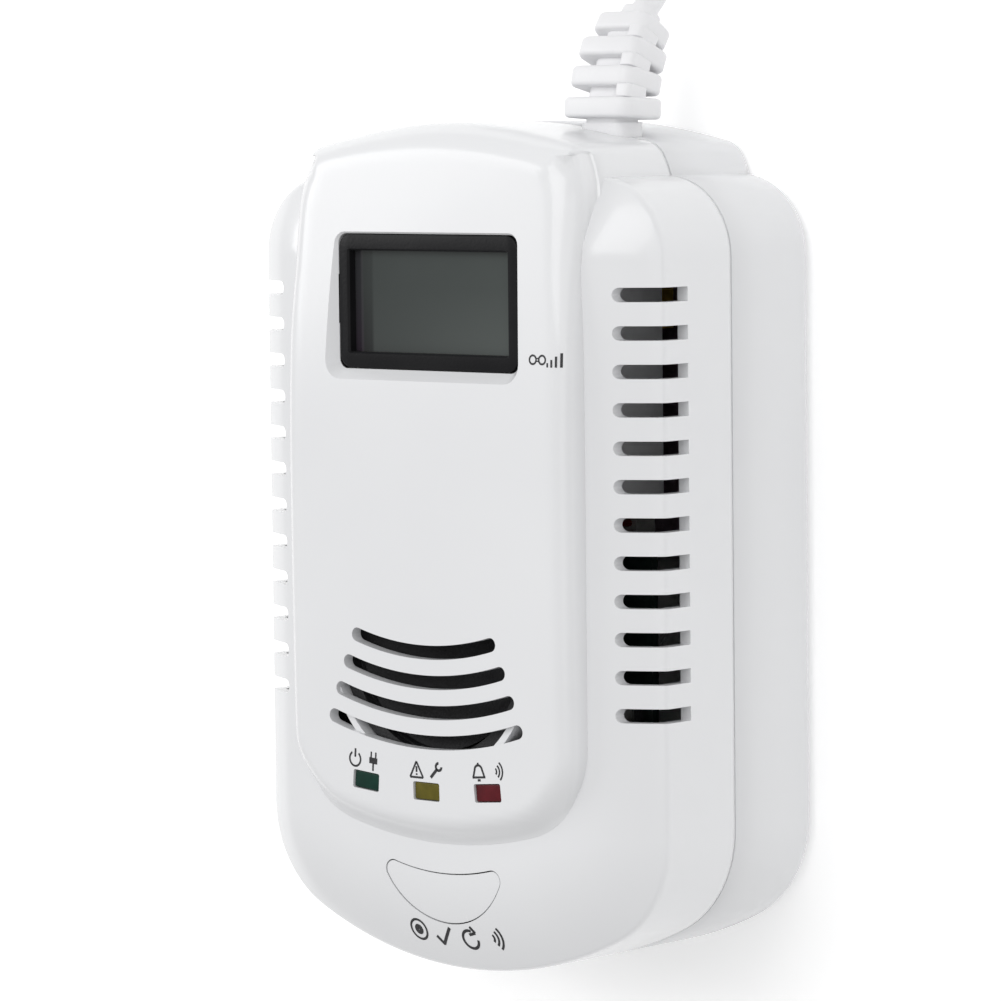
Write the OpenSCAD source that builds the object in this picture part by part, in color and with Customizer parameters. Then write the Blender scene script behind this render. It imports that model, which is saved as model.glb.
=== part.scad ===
// Carbon monoxide alarm with a digital display, a sounder, a test button and a mains lead.
// It lies on its back: X runs to its right, Y to its cord end, Z out of its front panel,
// and Z = 0 is the flat back that goes against a wall. Millimetres.

/* [Housing] */
// Width across the two vented sides
body_w = 90; // [88:0.5:92]
// Length from the rounded foot to the cord end
body_h = 145; // [143:0.5:147]
// Height of the front panel above the back
panel_z = 50.4; // [50:0.1:51]
// Height of the soft edge where the front turns into the sides
crease_z = 39.8; // [39.4:0.1:40]
// Height of the seam between the rear and front covers
seam_z = 22; // [21.5:0.25:22.5]
// Wall thickness of both covers
wall = 2.2; // [2:0.1:2.4]
// Half width of the raised front panel
panel_half_w = 33.4; // [33:0.1:33.8]

/* [Vents] */
// Number of vent slots on each side
vent_count = 12; // [8:1:12]
// Distance from one slot to the next
vent_pitch = 6.34; // [6:0.01:6.4]
// Height of one slot
vent_h = 2.4; // [2:0.1:3]
// Place of the top slot along the body
vent_top_y = 44; // [42:0.5:44.5]

/* [Sounder grille] */
// Number of curved slots over the sounder
arc_count = 4; // [2:1:4]
// Radius of the smallest curved slot
arc_r = 54.2; // [53:0.1:55]
// Distance between curved slots
arc_pitch = 5.12; // [4.8:0.02:5.2]
// Width of one curved slot
arc_slot_w = 2.4; // [2:0.1:3]

/* [Display] */
// Width of the display opening
lcd_open_w = 40.6; // [40:0.1:41]
// Height of the display opening
lcd_open_h = 23.1; // [22.5:0.1:23.5]

/* [Test button] */
// Travel of the test button
button_travel = 0.5; // [0.3:0.1:0.5]
// Gap around the test button
button_gap = 0.3; // [0.25:0.05:0.4]

/* [Cord] */
// Diameter of the mains lead
cord_d = 4.6; // [4.4:0.1:4.6]
// Turns in one layer of the stored coil
coil_turns = 4; // [3:1:4]

/* [Hidden] */
$fn = 64;

half_w = body_w / 2;
half_h = body_h / 2;
tall = 80;
eps = 0.01;

// Rounded ends of the outlines: corner radius, end radius
foot_corner_r = 20;
foot_end_r = 76;
shoulder_corner_r = 13.5;
shoulder_end_r = 300;
shoulder_y = half_h - 7.5;
head_corner_r = 5;
head_taper = 3.3;
taper_y = 63.3;
head_end_r = 135;
panel_foot_corner_r = 16;
panel_foot_end_r = 80;
panel_foot_y = -50;

// Crown of the side strips and chin
crown_rise = 6.2;
crown_reach = 18;

// Front panel curvature: flat below dome_y, domed above it
dome_y = 15;
dome_r = 380;
chin_r = 2400;
head_edge = 4.4;

// Vent slots
vent_inner_x = 37.2;
vent_low_z = crease_z - 6.1;

// Sounder grille: arcs about one centre
arc_centre_y = 37.3;
arc_half_angles = [16.2, 16.8, 17.2, 17.4];
sounder_y = -15.5;
sounder_r = 21.6;
ring_gap = 0.4;
ring_wall = 1.2;

// Indicators
led_pitch = 13.85;
led_w = 5.7;
led_h = 2.9;
led_y = [-39.9, -40.7, -39.9];
led_tilt = [-5, 0, 5];
led_gap = 0.15;
led_low_z = 43;
led_sunk = 0.3;

// Display
lcd_y = 42.25;
lcd_corner_r = 1.7;
lcd_face_z = 48;
lcd_seat_z = 44.2;
lcd_view_w = 36.4;
lcd_view_h = 17.6;
lcd_glass_w = 38.4;
lcd_glass_h = 20;
lcd_lip = 1.6;
lcd_tab_y = [38.4, 46.8];
lcd_tab = 0.5;
lcd_flare = 3.2;

// Test button: a crescent between two circles
button_low_r = 14.3;
button_low_y = -49.6;
button_top_r = 44;
button_top_y = -11.3;
button_tip_r = 1.6;
button_tip = [11.25, -55.49];
// Ways out of a tip's centre: square to the upper arc, to the tip itself, square to the lower arc, down
button_cut = [[-0.25, 0.968], [0, 0], [0.886, -0.463], [0.886, -3]];
button_flange_z = 40.5;
button_flange_h = 1.2;
button_flange_lip = 1.2;
button_stem_z = 38.7;
switch_y = -59.5;

// Boards
board_t = 1.6;
main_z = 32.4;
main_top = main_z + board_t;
power_z = 9;
power_top = power_z + board_t;

// Screw posts between the covers
post_at = [[35.5, 50], [-35.5, 50], [35, -48], [-35, -48]];
post_split_z = 14;
post_r = 3.4;
boss_r = 4.2;
screw_r = 1.45;
screw_head_r = 2.8;
screw_seat_z = 9.8;

// Posts for the boards
main_post_at = [[24.2, 20.5], [-24.2, 20.5], [28, -54.5], [-28, -54.5]];
power_post_at = [[29, 4], [-29, 4], [28.5, 56], [-28.5, 56]];

// Power transformer, and the plugs at the two ends of the harness between the boards
transformer_at = [-14, 28];
header_x = 12;
power_header_y = 3.5;
display_header_y = 9.5;

// Keyholes in the back
keyhole_y = [30, -40];
keyhole_r = 4;
keyhole_slot = 4;
keyhole_run = 7;

// Gas sensor
sensor_at = [28.2, -27];
sensor_base_h = 2.2;
sensor_h = 5;

// Strain relief and its route: a bend of bend_r in the YZ plane
relief_x = 19.3;
relief_y = 71.2;
relief_z = seam_z;
bend_r = 27;
relief_angle = 45;
neck = [9.5, 6.6, 1.5];
ring_count = 4;
ring_step = 4.7;
ring_t = 3.5;
ring_first = 3.4;
relief_len = PI * bend_r * relief_angle / 180;

// Stored coil of the lead, its tie and its plug
cord_r = cord_d / 2;
coil_x = -14.8;
coil_y = 148;
coil_mid_r = 27.05;
coil_pitch = 4.7;
coil_lift = 0.7;
coil_half_w = (coil_turns - 1) * coil_pitch / 2 + cord_r;
coil_tall = coil_pitch + cord_d;
tie_w = 6;
tie_t = 0.6;
plug_x = 44;
plug_y = 146;
plug_z = 7;

// Route of the lead from the strain relief to the coil, on one plane
run_route = [[19.3, 90.3, 14.1], [19.3, 92.2, 12.2], [19.3, 94.4, 10], [19.3, 98, 6.9],
             [19.3, 102, 4.5], [19.3, 106, 3], [19.3, 110, 2.4], [19.3, 114, 2.3],
             [19.3, 120, 2.3], [19.3, 126, 2.4], [19.3, 132, 2.7], [19.3, 136, 2.9]];

// Route of the lead from the coil, over the first stretch, to the plug
tail_route = [[-6, 114.6, 7.8], [0, 113.9, 7.9], [8, 113.6, 7.8], [14, 113.7, 7.6], [19.3, 114, 7.3],
              [25, 115, 6.3], [31, 117.2, 5.2], [36, 120.5, 4.5], [40, 125, 4.4],
              [42.7, 130.5, 5.1], [43.8, 136, 6.5], [44, 139.6, 7], [44, 143, 7]];

// ---- outlines ------------------------------------------------------------------------

// Part of an outline from its middle to one rounded end, the end pointing to -Y
module rounded_end(hw, corner_r, end_r, end_y, inset) {
    cx = hw - corner_r;
    ec = end_y + end_r;
    cy = ec - sqrt(pow(end_r - corner_r, 2) - cx * cx);
    reach = 1.6;
    mid = cx * ec / (ec - cy);
    for (s = [-1, 1]) translate([s * cx, cy]) circle(corner_r - inset);
    intersection() {
        translate([0, ec]) circle(end_r - inset, $fn = 180);
        polygon([[mid, 0], [reach * cx, ec + reach * (cy - ec)],
                 [-reach * cx, ec + reach * (cy - ec)], [-mid, 0]]);
    }
    translate([-hw + inset, cy]) square([2 * (hw - inset), -cy]);
    polygon([[-cx, 0], [cx, 0], [cx, cy], [-cx, cy]]);
}

module strip_outline(inset) {
    rounded_end(half_w, foot_corner_r, foot_end_r, -half_h, inset);
    mirror([0, 1]) rounded_end(half_w, shoulder_corner_r, shoulder_end_r, -shoulder_y, inset);
}

module panel_outline(inset) {
    rounded_end(panel_half_w, panel_foot_corner_r, panel_foot_end_r, panel_foot_y, inset);
    intersection() {
        mirror([0, 1]) rounded_end(panel_half_w, head_corner_r, head_end_r, -half_h, inset);
        polygon([for (s = [-1, 1], k = s < 0 ? [0 : 2] : [2 : -1 : 0])
            [s * (panel_half_w - inset - [0, 0, head_taper][k]), [-1, taper_y, half_h + 1][k]]]);
    }
}

module full_outline(inset) {
    strip_outline(inset);
    panel_outline(inset);
}

module rounded_rect(w, h, r) {
    square([w - 2 * r, h], center = true);
    square([w, h - 2 * r], center = true);
    for (x = [-1, 1], y = [-1, 1]) translate([x * (w / 2 - r), y * (h / 2 - r)]) circle(r);
}

// ---- the form of the front -----------------------------------------------------------

function crown_z(d) = crease_z + crown_rise * (1 - pow(1 - min(d, crown_reach) / crown_reach, 2));
function panel_top(y) = panel_z - pow(y - dome_y, 2) / (2 * (y > dome_y ? dome_r : chin_r));

crown_steps = [0, 2, 4, 7, 10, 14, 18];
panel_steps = [-50, -35, -20, -5, 10, 20, 28, 36, 44, 52, 60, half_h - head_edge];

// Profile across the body, seen along Y
module crown_across(inset, low) {
    right = [for (d = crown_steps) [half_w - inset - d, crown_z(d) - inset]];
    left = [for (k = [len(crown_steps) - 1 : -1 : 0])
            [-half_w + inset + crown_steps[k], crown_z(crown_steps[k]) - inset]];
    rotate([90, 0, 0]) linear_extrude(2 * body_h, center = true)
        polygon(concat([[half_w - inset, low]], right, left, [[-half_w + inset, low]]));
}

// Profile along the body, seen along X
module crown_along(inset, low) {
    foot = [for (d = crown_steps) [-half_h + inset + d, crown_z(d) - inset]];
    head = [for (k = [len(crown_steps) - 1 : -1 : 0])
            [shoulder_y - inset - crown_steps[k], crown_z(crown_steps[k]) - inset]];
    rotate([90, 0, 90]) linear_extrude(2 * body_w, center = true)
        polygon(concat([[-half_h + inset, low]], foot, head, [[shoulder_y - inset, low]]));
}

module panel_along(inset, low) {
    front = [for (y = panel_steps) [y, panel_top(y) - inset]];
    edge_y = half_h - head_edge;
    edge_z = panel_top(edge_y);
    head = [for (a = [30, 60, 90]) [edge_y + (head_edge - inset) * sin(a),
                                    edge_z - inset - (head_edge - inset) * (1 - cos(a))]];
    rotate([90, 0, 90]) linear_extrude(2 * body_w, center = true)
        polygon(concat([[-60, low], [-60, panel_top(-50) - inset]], front, head, [[half_h - inset, low]]));
}

// The space inside the front skin, moved in by inset
module front_form(inset, low) {
    intersection() {
        translate([0, 0, low]) linear_extrude(tall) strip_outline(inset);
        crown_across(inset, low);
        crown_along(inset, low);
    }
    intersection() {
        translate([0, 0, low]) linear_extrude(tall) panel_outline(inset);
        panel_along(inset, low);
    }
}

// ---- shared shapes -------------------------------------------------------------------

module vent_cutters() {
    for (k = [0 : vent_count - 1], s = [-1, 1])
        translate([0, vent_top_y - k * vent_pitch, vent_low_z]) {
            translate([s * (vent_inner_x + vent_h / 2), 0, 0]) cylinder(h = tall, d = vent_h);
            translate([s > 0 ? vent_inner_x + vent_h / 2 : -half_w - 2, -vent_h / 2, 0])
                cube([half_w + 2 - vent_inner_x - vent_h / 2, vent_h, tall]);
        }
}

module arc_slot(k) {
    r = arc_r + k * arc_pitch;
    a = arc_half_angles[k];
    intersection() {
        difference() {
            circle(r + arc_slot_w / 2, $fn = 180);
            circle(r - arc_slot_w / 2, $fn = 180);
        }
        polygon([[0, 0], for (s = [-1, 1]) 90 * [s * sin(a), -cos(a)]]);
    }
    for (s = [-1, 1]) rotate(s * a) translate([0, -r]) circle(d = arc_slot_w);
}

// Profile of the bevel round the display opening, size being the opening's width or height
module lcd_bevel(size) {
    linear_extrude(60, center = true)
        polygon([[-size / 2, 0], [size / 2, 0], [size / 2 + lcd_flare, 4], [-size / 2 - lcd_flare, 4]]);
}

module lcd_opening() {
    translate([0, lcd_y, 40]) linear_extrude(tall) rounded_rect(lcd_open_w, lcd_open_h, lcd_corner_r);
    translate([-lcd_open_w / 2 - lcd_tab, lcd_tab_y[0], 40])
        cube([2, lcd_tab_y[1] - lcd_tab_y[0], lcd_face_z - 40]);
    translate([0, lcd_y, lcd_face_z]) intersection() {
        rotate([90, 0, 0]) lcd_bevel(lcd_open_w);
        rotate([90, 0, 90]) lcd_bevel(lcd_open_h);
    }
}

module button_shape(gap) {
    reach = 3 * button_tip_r;
    intersection() {
        difference() {
            translate([0, button_low_y]) circle(button_low_r + gap);
            translate([0, button_top_y]) circle(button_top_r - gap, $fn = 180);
        }
        polygon([for (s = [-1, 1], k = s < 0 ? [0 : 3] : [3 : -1 : 0])
            [s * button_tip[0], button_tip[1]] + [s * button_cut[k][0], button_cut[k][1]] * reach]);
    }
    for (s = [-1, 1]) translate([s * button_tip[0], button_tip[1]]) circle(button_tip_r + gap);
}

module at_led(k) {
    translate([(k - 1) * led_pitch, led_y[k], 0]) rotate(led_tilt[k]) children();
}

// A bar of rounded section w by d standing along the lead's axis at angle a of the bend
module on_bend(a) {
    translate([relief_x, relief_y + bend_r * sin(a), relief_z - bend_r * (1 - cos(a))])
        rotate([-90 - a, 0, 0]) children();
}

module bar(w, d, h, r) { linear_extrude(h) rounded_rect(w, d, r); }

module screw(shank_r, length, head_r, head_h) {
    cylinder(h = length, r = shank_r);
    difference() {
        translate([0, 0, -head_h]) cylinder(h = head_h, r = head_r);
        for (a = [0, 90]) rotate(a)
            translate([-head_r * 0.6, -0.35, -head_h - eps]) cube([head_r * 1.2, 0.7, 1]);
    }
}

// ---- lead: tube swept along a route --------------------------------------------------

function unit(v) = v / norm(v);
function heading(path, k) = unit(path[min(k + 1, len(path) - 1)] - path[max(k - 1, 0)]);
function side_of(t) = unit(cross([0, 0, 1], t));
function ring(p, t, r, n) = let (u = side_of(t), v = cross(t, u))
    [for (k = [0 : n - 1]) p + r * (cos(360 * k / n) * u + sin(360 * k / n) * v)];

module tube(path, r, n = 10) {
    m = len(path);
    pts = [for (k = [0 : m - 1]) each ring(path[k], heading(path, k), r, n)];
    walls = [for (k = [0 : m - 2], j = [0 : n - 1])
             [k * n + j, k * n + (j + 1) % n, (k + 1) * n + (j + 1) % n, (k + 1) * n + j]];
    start = [for (j = [n - 1 : -1 : 0]) j];
    finish = [for (j = [0 : n - 1]) (m - 1) * n + j];
    mirror_faces = concat([start], walls, [finish]);
    polyhedron(pts, [for (f = mirror_faces) [for (k = [len(f) - 1 : -1 : 0]) f[k]]]);
}

// ---- covers --------------------------------------------------------------------------

module relief_gate(gap) {
    translate([relief_x, relief_y - 12, relief_z]) rotate([-90, 0, 0])
        bar(neck[0] + 2 * gap, neck[1] + 2 * gap, 20, neck[2]);
}

module keyhole(y) {
    translate([0, y, -eps]) {
        cylinder(h = wall + 1, r = keyhole_r);
        translate([-keyhole_slot / 2, 0, 0]) cube([keyhole_slot, keyhole_run, wall + 1]);
        translate([0, keyhole_run, 0]) cylinder(h = wall + 1, d = keyhole_slot);
    }
}

module keyhole_pocket(y) {
    translate([0, y + 3, wall - eps]) difference() {
        bar(14, 20, 5, 3);
        translate([0, 0, -1]) bar(11.6, 17.6, 4.8, 1.8);
    }
}

module rear_cover() color("whitesmoke") {
    lip_h = 1.4;
    difference() {
        union() {
            difference() {
                linear_extrude(seam_z) full_outline(0);
                translate([0, 0, wall]) linear_extrude(tall) full_outline(wall);
            }
            difference() {
                union() {
                    translate([0, 0, seam_z - 3]) linear_extrude(3 - eps) full_outline(wall - 0.1);
                    translate([0, 0, seam_z - 1]) linear_extrude(1 + lip_h) full_outline(wall + 0.15);
                }
                translate([0, 0, seam_z - 4]) linear_extrude(tall) full_outline(wall + 1.15);
            }
            for (p = post_at) translate([p[0], p[1], 1]) cylinder(h = post_split_z - 1, r = boss_r);
            for (p = power_post_at) translate([p[0], p[1], 1]) cylinder(h = power_z - 1, r = 3);
            for (y = keyhole_y) keyhole_pocket(y);
        }
        for (p = post_at) translate([p[0], p[1], -eps]) {
            cylinder(h = 20, r = screw_r + 0.2);
            cylinder(h = screw_seat_z + eps, r = screw_head_r + 0.4);
        }
        for (p = power_post_at) translate([p[0], p[1], 3]) cylinder(h = 20, r = 1.3);
        for (y = keyhole_y) keyhole(y);
        relief_gate(0);
        translate([relief_x - 9, relief_y - 12, seam_z]) cube([18, 14, 10]);
    }
}

module front_ribs() {
    // baffles that keep the mains side out of reach of the vents
    for (s = [-1, 1]) translate([s * 29.5 - 0.8, 9, seam_z + 0.5]) cube([1.6, 50, tall]);
    // ring round the sounder
    difference() {
        translate([0, sounder_y, 43]) cylinder(h = tall, r = sounder_r + ring_gap + ring_wall);
        translate([0, sounder_y, 42]) cylinder(h = tall, r = sounder_r + ring_gap);
    }
    for (p = main_post_at) translate([p[0], p[1], main_top]) difference() {
        cylinder(h = tall, r = 2.6);
        translate([0, 0, -eps]) cylinder(h = 8, r = 0.9);
    }
    for (p = post_at) translate([p[0], p[1], post_split_z]) difference() {
        cylinder(h = tall, r = post_r);
        translate([0, 0, -eps]) cylinder(h = 14, r = screw_r + 0.05);
    }
}

module front_cover() color("white") {
    difference() {
        front_form(0, seam_z);
        front_form(wall, seam_z - 1);
        vent_cutters();
        translate([0, arc_centre_y, 44]) linear_extrude(tall)
            for (k = [0 : arc_count - 1]) arc_slot(k);
        lcd_opening();
        for (k = [0 : 2]) at_led(k) translate([0, 0, 44 + tall / 2])
            cube([led_w + 2 * led_gap, led_h + 2 * led_gap, tall], center = true);
        translate([0, 0, 39]) linear_extrude(tall) button_shape(button_gap);
        relief_gate(0);
    }
    intersection() {
        front_form(wall - 0.2, 0);
        front_ribs();
    }
}

module housing_screws() color("silver") {
    for (p = post_at) translate([p[0], p[1], screw_seat_z]) screw(screw_r, 15, screw_head_r, 2.2);
}

// ---- display -------------------------------------------------------------------------

module lcd_bezel() color("black") {
    difference() {
        union() {
            translate([0, lcd_y, lcd_seat_z])
                bar(lcd_open_w - 0.4, lcd_open_h - 0.4, lcd_face_z - lcd_seat_z, lcd_corner_r);
            translate([0, lcd_y, lcd_seat_z]) bar(44.6, 26.6, 1.2, 2);
            translate([-lcd_open_w / 2 - lcd_tab + 0.15, lcd_tab_y[0] + 0.2, lcd_seat_z])
                cube([2, lcd_tab_y[1] - lcd_tab_y[0] - 0.4, lcd_face_z - lcd_seat_z - 0.1]);
        }
        translate([0, lcd_y, lcd_seat_z - 1]) bar(lcd_view_w, lcd_view_h, 10, 0.8);
        translate([0, lcd_y, lcd_seat_z - 1])
            bar(lcd_glass_w + 0.2, lcd_glass_h + 0.2, lcd_face_z - lcd_lip - lcd_seat_z + 1, 0.5);
    }
}

module lcd_glass() color("dimgray") {
    translate([0, lcd_y, lcd_seat_z]) bar(lcd_glass_w, lcd_glass_h, 1.1, 0.3);
    translate([0, lcd_y + 0.6, lcd_seat_z + 1.1 - eps]) bar(lcd_glass_w, lcd_glass_h - 1.2, 1.1, 0.3);
}

module lcd_holder() color("gainsboro") {
    difference() {
        translate([0, lcd_y, main_top]) bar(46, 28.4, lcd_seat_z - main_top, 1.5);
        translate([0, lcd_y, main_top - eps]) bar(43.2, 25.6, lcd_seat_z - main_top - 1.6, 1);
        for (s = [-1, 1]) translate([0, lcd_y + s * 8.6, 40]) cube([37, 2.4, 20], center = true);
    }
}

module zebra_strips() color("dimgray") {
    for (s = [-1, 1]) translate([-18, lcd_y + s * 8.6 - 1, main_top]) cube([36, 2, lcd_seat_z - main_top]);
}

// ---- main board ----------------------------------------------------------------------

module main_board() color("darkgreen") {
    translate([0, 0, main_z]) linear_extrude(board_t) difference() {
        intersection() {
            full_outline(wall + 1);
            union() {
                translate([-27.6, 0]) square([55.2, 60]);
                translate([-37, -63]) square([74, 66]);
            }
        }
        translate([0, sounder_y]) circle(22.8);
        for (p = post_at) translate([p[0], p[1]]) circle(4);
        for (p = main_post_at) translate([p[0], p[1]]) circle(1);
    }
}

module main_board_screws() color("silver") {
    for (p = main_post_at) translate([p[0], p[1], main_z]) screw(0.85, 7.5, 1.9, 1.4);
}

module control_chips() color("#202022") {
    translate([-27, -34, main_top]) translate([-5, -5, 0]) cube([10, 10, 1.6]);
    translate([-29, -20, main_top]) translate([-2.5, -3, 0]) cube([5, 6, 1.5]);
    translate([-17, -50, main_top]) translate([-3, -2, 0]) cube([6, 4, 1.5]);
    translate([14, -52, main_top]) translate([-2.5, -2.5, 0]) cube([5, 5, 1.5]);
    translate([0, 18, main_top]) translate([-6, -3, 0]) cube([12, 6, 1.6]);
}

module led_body(k) {
    at_led(k) translate([0, 0, led_low_z]) {
        h = panel_top(led_y[k]) - led_sunk - led_low_z;
        translate([-led_w / 2, -led_h / 2, 0]) cube([led_w, led_h, h]);
        translate([-led_w / 2 - 0.3, -led_h / 2 - 0.3, 0]) cube([led_w + 0.6, led_h + 0.6, 1]);
    }
}

module led_green() color("darkgreen") led_body(0);
module led_yellow() color("olive") led_body(1);
module led_red() color("darkred") led_body(2);

module led_leads() color("silver") {
    for (k = [0 : 2], s = [-1, 1]) at_led(k)
        translate([s * 1.27 - 0.25, -0.25, main_top]) cube([0.5, 0.5, led_low_z - main_top]);
}

// ---- test button and its switch ------------------------------------------------------

module test_button() color("white") {
    intersection() {
        translate([0, 0, button_flange_z + button_flange_h - eps]) linear_extrude(tall) button_shape(0);
        front_form(0.15, 0);
    }
    intersection() {
        translate([0, 0, button_flange_z]) linear_extrude(button_flange_h) button_shape(button_flange_lip);
        front_form(wall + 0.4, 0);
    }
    translate([0, switch_y, button_stem_z]) cylinder(h = button_flange_z - button_stem_z + eps, r = 1.5);
}

module switch_body() color("#2a2a2c") {
    translate([0, switch_y, main_top]) difference() {
        translate([-3, -3, 0]) cube([6, 6, 3.4]);
        translate([0, 0, 1.8]) cylinder(h = 4, r = 1.8);
    }
}

module switch_plunger() color("black") {
    translate([0, switch_y, main_top + 2.4]) cylinder(h = 2.2, r = 1.7);
}

// ---- gas sensor ----------------------------------------------------------------------

module sensor_base() color("#303032") {
    translate([sensor_at[0], sensor_at[1], main_top]) cylinder(h = sensor_base_h, r = 6.6);
}

module sensor_can() color("silver") {
    translate([sensor_at[0], sensor_at[1], main_top + sensor_base_h]) difference() {
        cylinder(h = sensor_h, r = 6.1);
        translate([0, 0, 0.8]) cylinder(h = 6, r = 5.3);
    }
}

module sensor_mesh() color("#3a3a3c") {
    translate([sensor_at[0], sensor_at[1], main_top + sensor_base_h + sensor_h - 1.2])
        cylinder(h = 0.8, r = 5.2);
}

// ---- sounder -------------------------------------------------------------------------

module sounder_frame() color("#18181a") {
    translate([0, sounder_y, 0]) rotate_extrude($fn = 96)
        polygon([[11, 31], [13, 31], [20.2, 43.8], [21.6, 43.8], [21.6, 45.6], [19, 45.6], [12, 33], [11, 33]]);
}

module sounder_cone() color("#242426") {
    translate([0, sounder_y, 0]) rotate_extrude($fn = 96)
        polygon([[0, 39.6], [4.6, 38], [5, 37.4], [18.4, 44.9], [18.4, 45.4], [5, 38], [0, 40.2]]);
}

module sounder_magnet() color("gray") {
    translate([0, sounder_y, 23]) cylinder(h = 8, r = 13);
    translate([0, sounder_y, 31 - eps]) cylinder(h = 2, r = 10.8);
}

module sounder_gasket() color("#2c2c2e") {
    translate([0, sounder_y, 45.6]) difference() {
        cylinder(h = 1.6, r = 21.6);
        translate([0, 0, -eps]) cylinder(h = 2, r = 19.2);
    }
}

module sounder_wires() color("#303030") {
    for (s = [-1, 1]) {
        translate([s * 1.5 - 3, 8.4, main_top]) cylinder(h = 8.5, r = 0.6, $fn = 24);
        translate([s * 1.5 - 3, 9, main_top + 7.9]) rotate([90, 0, 0]) cylinder(h = 3.6, r = 0.6, $fn = 24);
    }
}

// ---- power board ---------------------------------------------------------------------

module power_board() color("saddlebrown") {
    translate([0, 0, power_z]) linear_extrude(board_t) difference() {
        intersection() {
            full_outline(wall + 1.6);
            translate([-34, -2]) square([68, 64]);
        }
        for (p = post_at) translate([p[0], p[1]]) circle(boss_r + 0.6);
        for (p = power_post_at) translate([p[0], p[1]]) circle(1.5);
    }
}

module power_board_screws() color("silver") {
    for (p = power_post_at) translate([p[0], p[1], power_top]) mirror([0, 0, 1]) screw(1.25, 7, 2.6, 1.8);
}

module transformer_base() color("black") {
    translate([transformer_at[0] - 15, transformer_at[1] - 13, power_top]) cube([30, 26, 1.6]);
}

module transformer_core() color("dimgray") {
    translate([transformer_at[0], transformer_at[1], power_top + 1.6]) difference() {
        translate([-14, -6, 0]) cube([28, 12, 17.6]);
        for (s = [-1, 1]) translate([s * 7.4 - 2.9, -7, 3.4]) cube([5.8, 14, 10.8]);
    }
}

module transformer_winding() color("gold") {
    translate([transformer_at[0], transformer_at[1], power_top + 5.1]) difference() {
        translate([-10.2, -10.5, 0]) cube([20.4, 21, 10.6]);
        translate([-4.6, -6.1, -1]) cube([9.2, 12.2, 14]);
    }
}

module smoothing_capacitors() color("#1c2c4c") {
    for (y = [17, 28.5]) translate([14, y, power_top]) cylinder(h = 16, r = 5);
}

module film_capacitor() color("goldenrod") {
    translate([5, 37, power_top]) cube([18, 7, 12]);
}

module varistor() color("royalblue") {
    translate([2, 53, power_top + 7]) rotate([90, 0, 0]) cylinder(h = 3.8, r = 5);
    for (x = [-2.5, 2.5]) translate([2 + x, 51.1, power_top]) cylinder(h = 3, r = 0.4, $fn = 24);
}

module fuse_tube() color("lightblue") {
    translate([-26, 51, power_top + 4]) rotate([0, 90, 0]) cylinder(h = 19, r = 2.4);
}

module fuse_clips() color("silver") {
    for (x = [-26, -12]) translate([x, 51, power_top]) difference() {
        translate([0, -3.4, 0]) cube([5, 6.8, 6]);
        translate([-1, 0, 4]) rotate([0, 90, 0]) cylinder(h = 7, r = 2.45);
        translate([-1, -1.8, 4]) cube([7, 3.6, 4]);
    }
}

module rectifier_diodes() color("#1a1a1c") {
    for (k = [0 : 3]) translate([-22 + 5 * k, 4, power_top + 1.5])
        rotate([-90, 0, 0]) cylinder(h = 5, r = 1.35, $fn = 32);
}

module terminal_block() color("seagreen") {
    translate([relief_x - 5.2, 48, power_top]) difference() {
        cube([10.4, 8, 10]);
        for (x = [2.7, 7.7]) translate([x, 4, 6]) cylinder(h = 6, r = 1.8);
        for (x = [2.7, 7.7]) translate([x, 9, 4]) rotate([90, 0, 0]) cylinder(h = 5, r = 1.4);
    }
}

module mains_wires() color("sienna") {
    for (s = [-1, 1]) tube([[relief_x + s * 1.6, 62.5, 22], [relief_x + s * 1.8, 61.2, 21.8],
                            [relief_x + s * 2.2, 59.4, 19.2], [relief_x + s * 2.5, 58.4, 16.8],
                            [relief_x + s * 2.5, 57.2, 15], [relief_x + s * 2.5, 56.2, 14.6],
                            [relief_x + s * 2.5, 54.6, 14.6]], 1.1, 8);
}

module header(w) { translate([-w / 2, -2.9, 0]) cube([w, 5.8, 5]); }

module power_header() color("ivory") {
    translate([header_x, power_header_y, power_top]) header(13);
}

module display_header() color("ivory") {
    translate([header_x, display_header_y, main_z - 5]) header(13);
}

module board_harness() color("indianred") {
    for (k = [0 : 4]) tube([[7 + 2.5 * k, 3.5, power_top + 5.1], [7 + 2.5 * k, 3.6, 18],
                            [7 + 2.5 * k, 5, 20.6], [7 + 2.5 * k, 8, 22.8],
                            [7 + 2.5 * k, 9.4, 25.2], [7 + 2.5 * k, 9.5, main_z - 5.1]], 0.6, 8);
}

// ---- lead ----------------------------------------------------------------------------

module strain_relief() color("white") {
    // plate inside the wall, neck through the wall
    translate([relief_x, 62.8, relief_z]) rotate([-90, 0, 0]) bar(12, 8.6, 3.2, 2);
    translate([relief_x, 65.8, relief_z]) rotate([-90, 0, 0]) bar(neck[0] - 0.1, neck[1] - 0.1, 6.2, neck[2]);
    // tapering rings along the bend
    for (k = [0 : ring_count - 1]) {
        a = (ring_first + k * ring_step) / relief_len * relief_angle;
        f = [1, 0.93, 0.9, 0.77][k];
        on_bend(a) translate([0, 0, -ring_t / 2]) bar(15.5 * f, 10.8 * f, ring_t, 3 * f);
    }
    // core and the ribs that join the rings
    core_steps = 6;
    for (k = [0 : core_steps - 1]) {
        a = (k + 0.5) * relief_angle / core_steps;
        on_bend(a) translate([0, 0, -2.4]) bar(8.2 - 0.3 * k, 6 - 0.15 * k, 4.1, 1.6);
    }
    on_bend(relief_angle) translate([0, 0, -1]) cylinder(h = 1, r = cord_r + 0.5);
}

module cord_run() color("white") tube(run_route, cord_r, 10);
module cord_tail() color("white") tube(tail_route, cord_r, 10);

module cord_coil() color("white") {
    translate([coil_x, coil_y, coil_lift]) rotate_extrude($fn = 96)
        translate([coil_mid_r, coil_tall / 2]) rounded_rect(2 * coil_half_w, coil_tall, cord_r);
}

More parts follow.
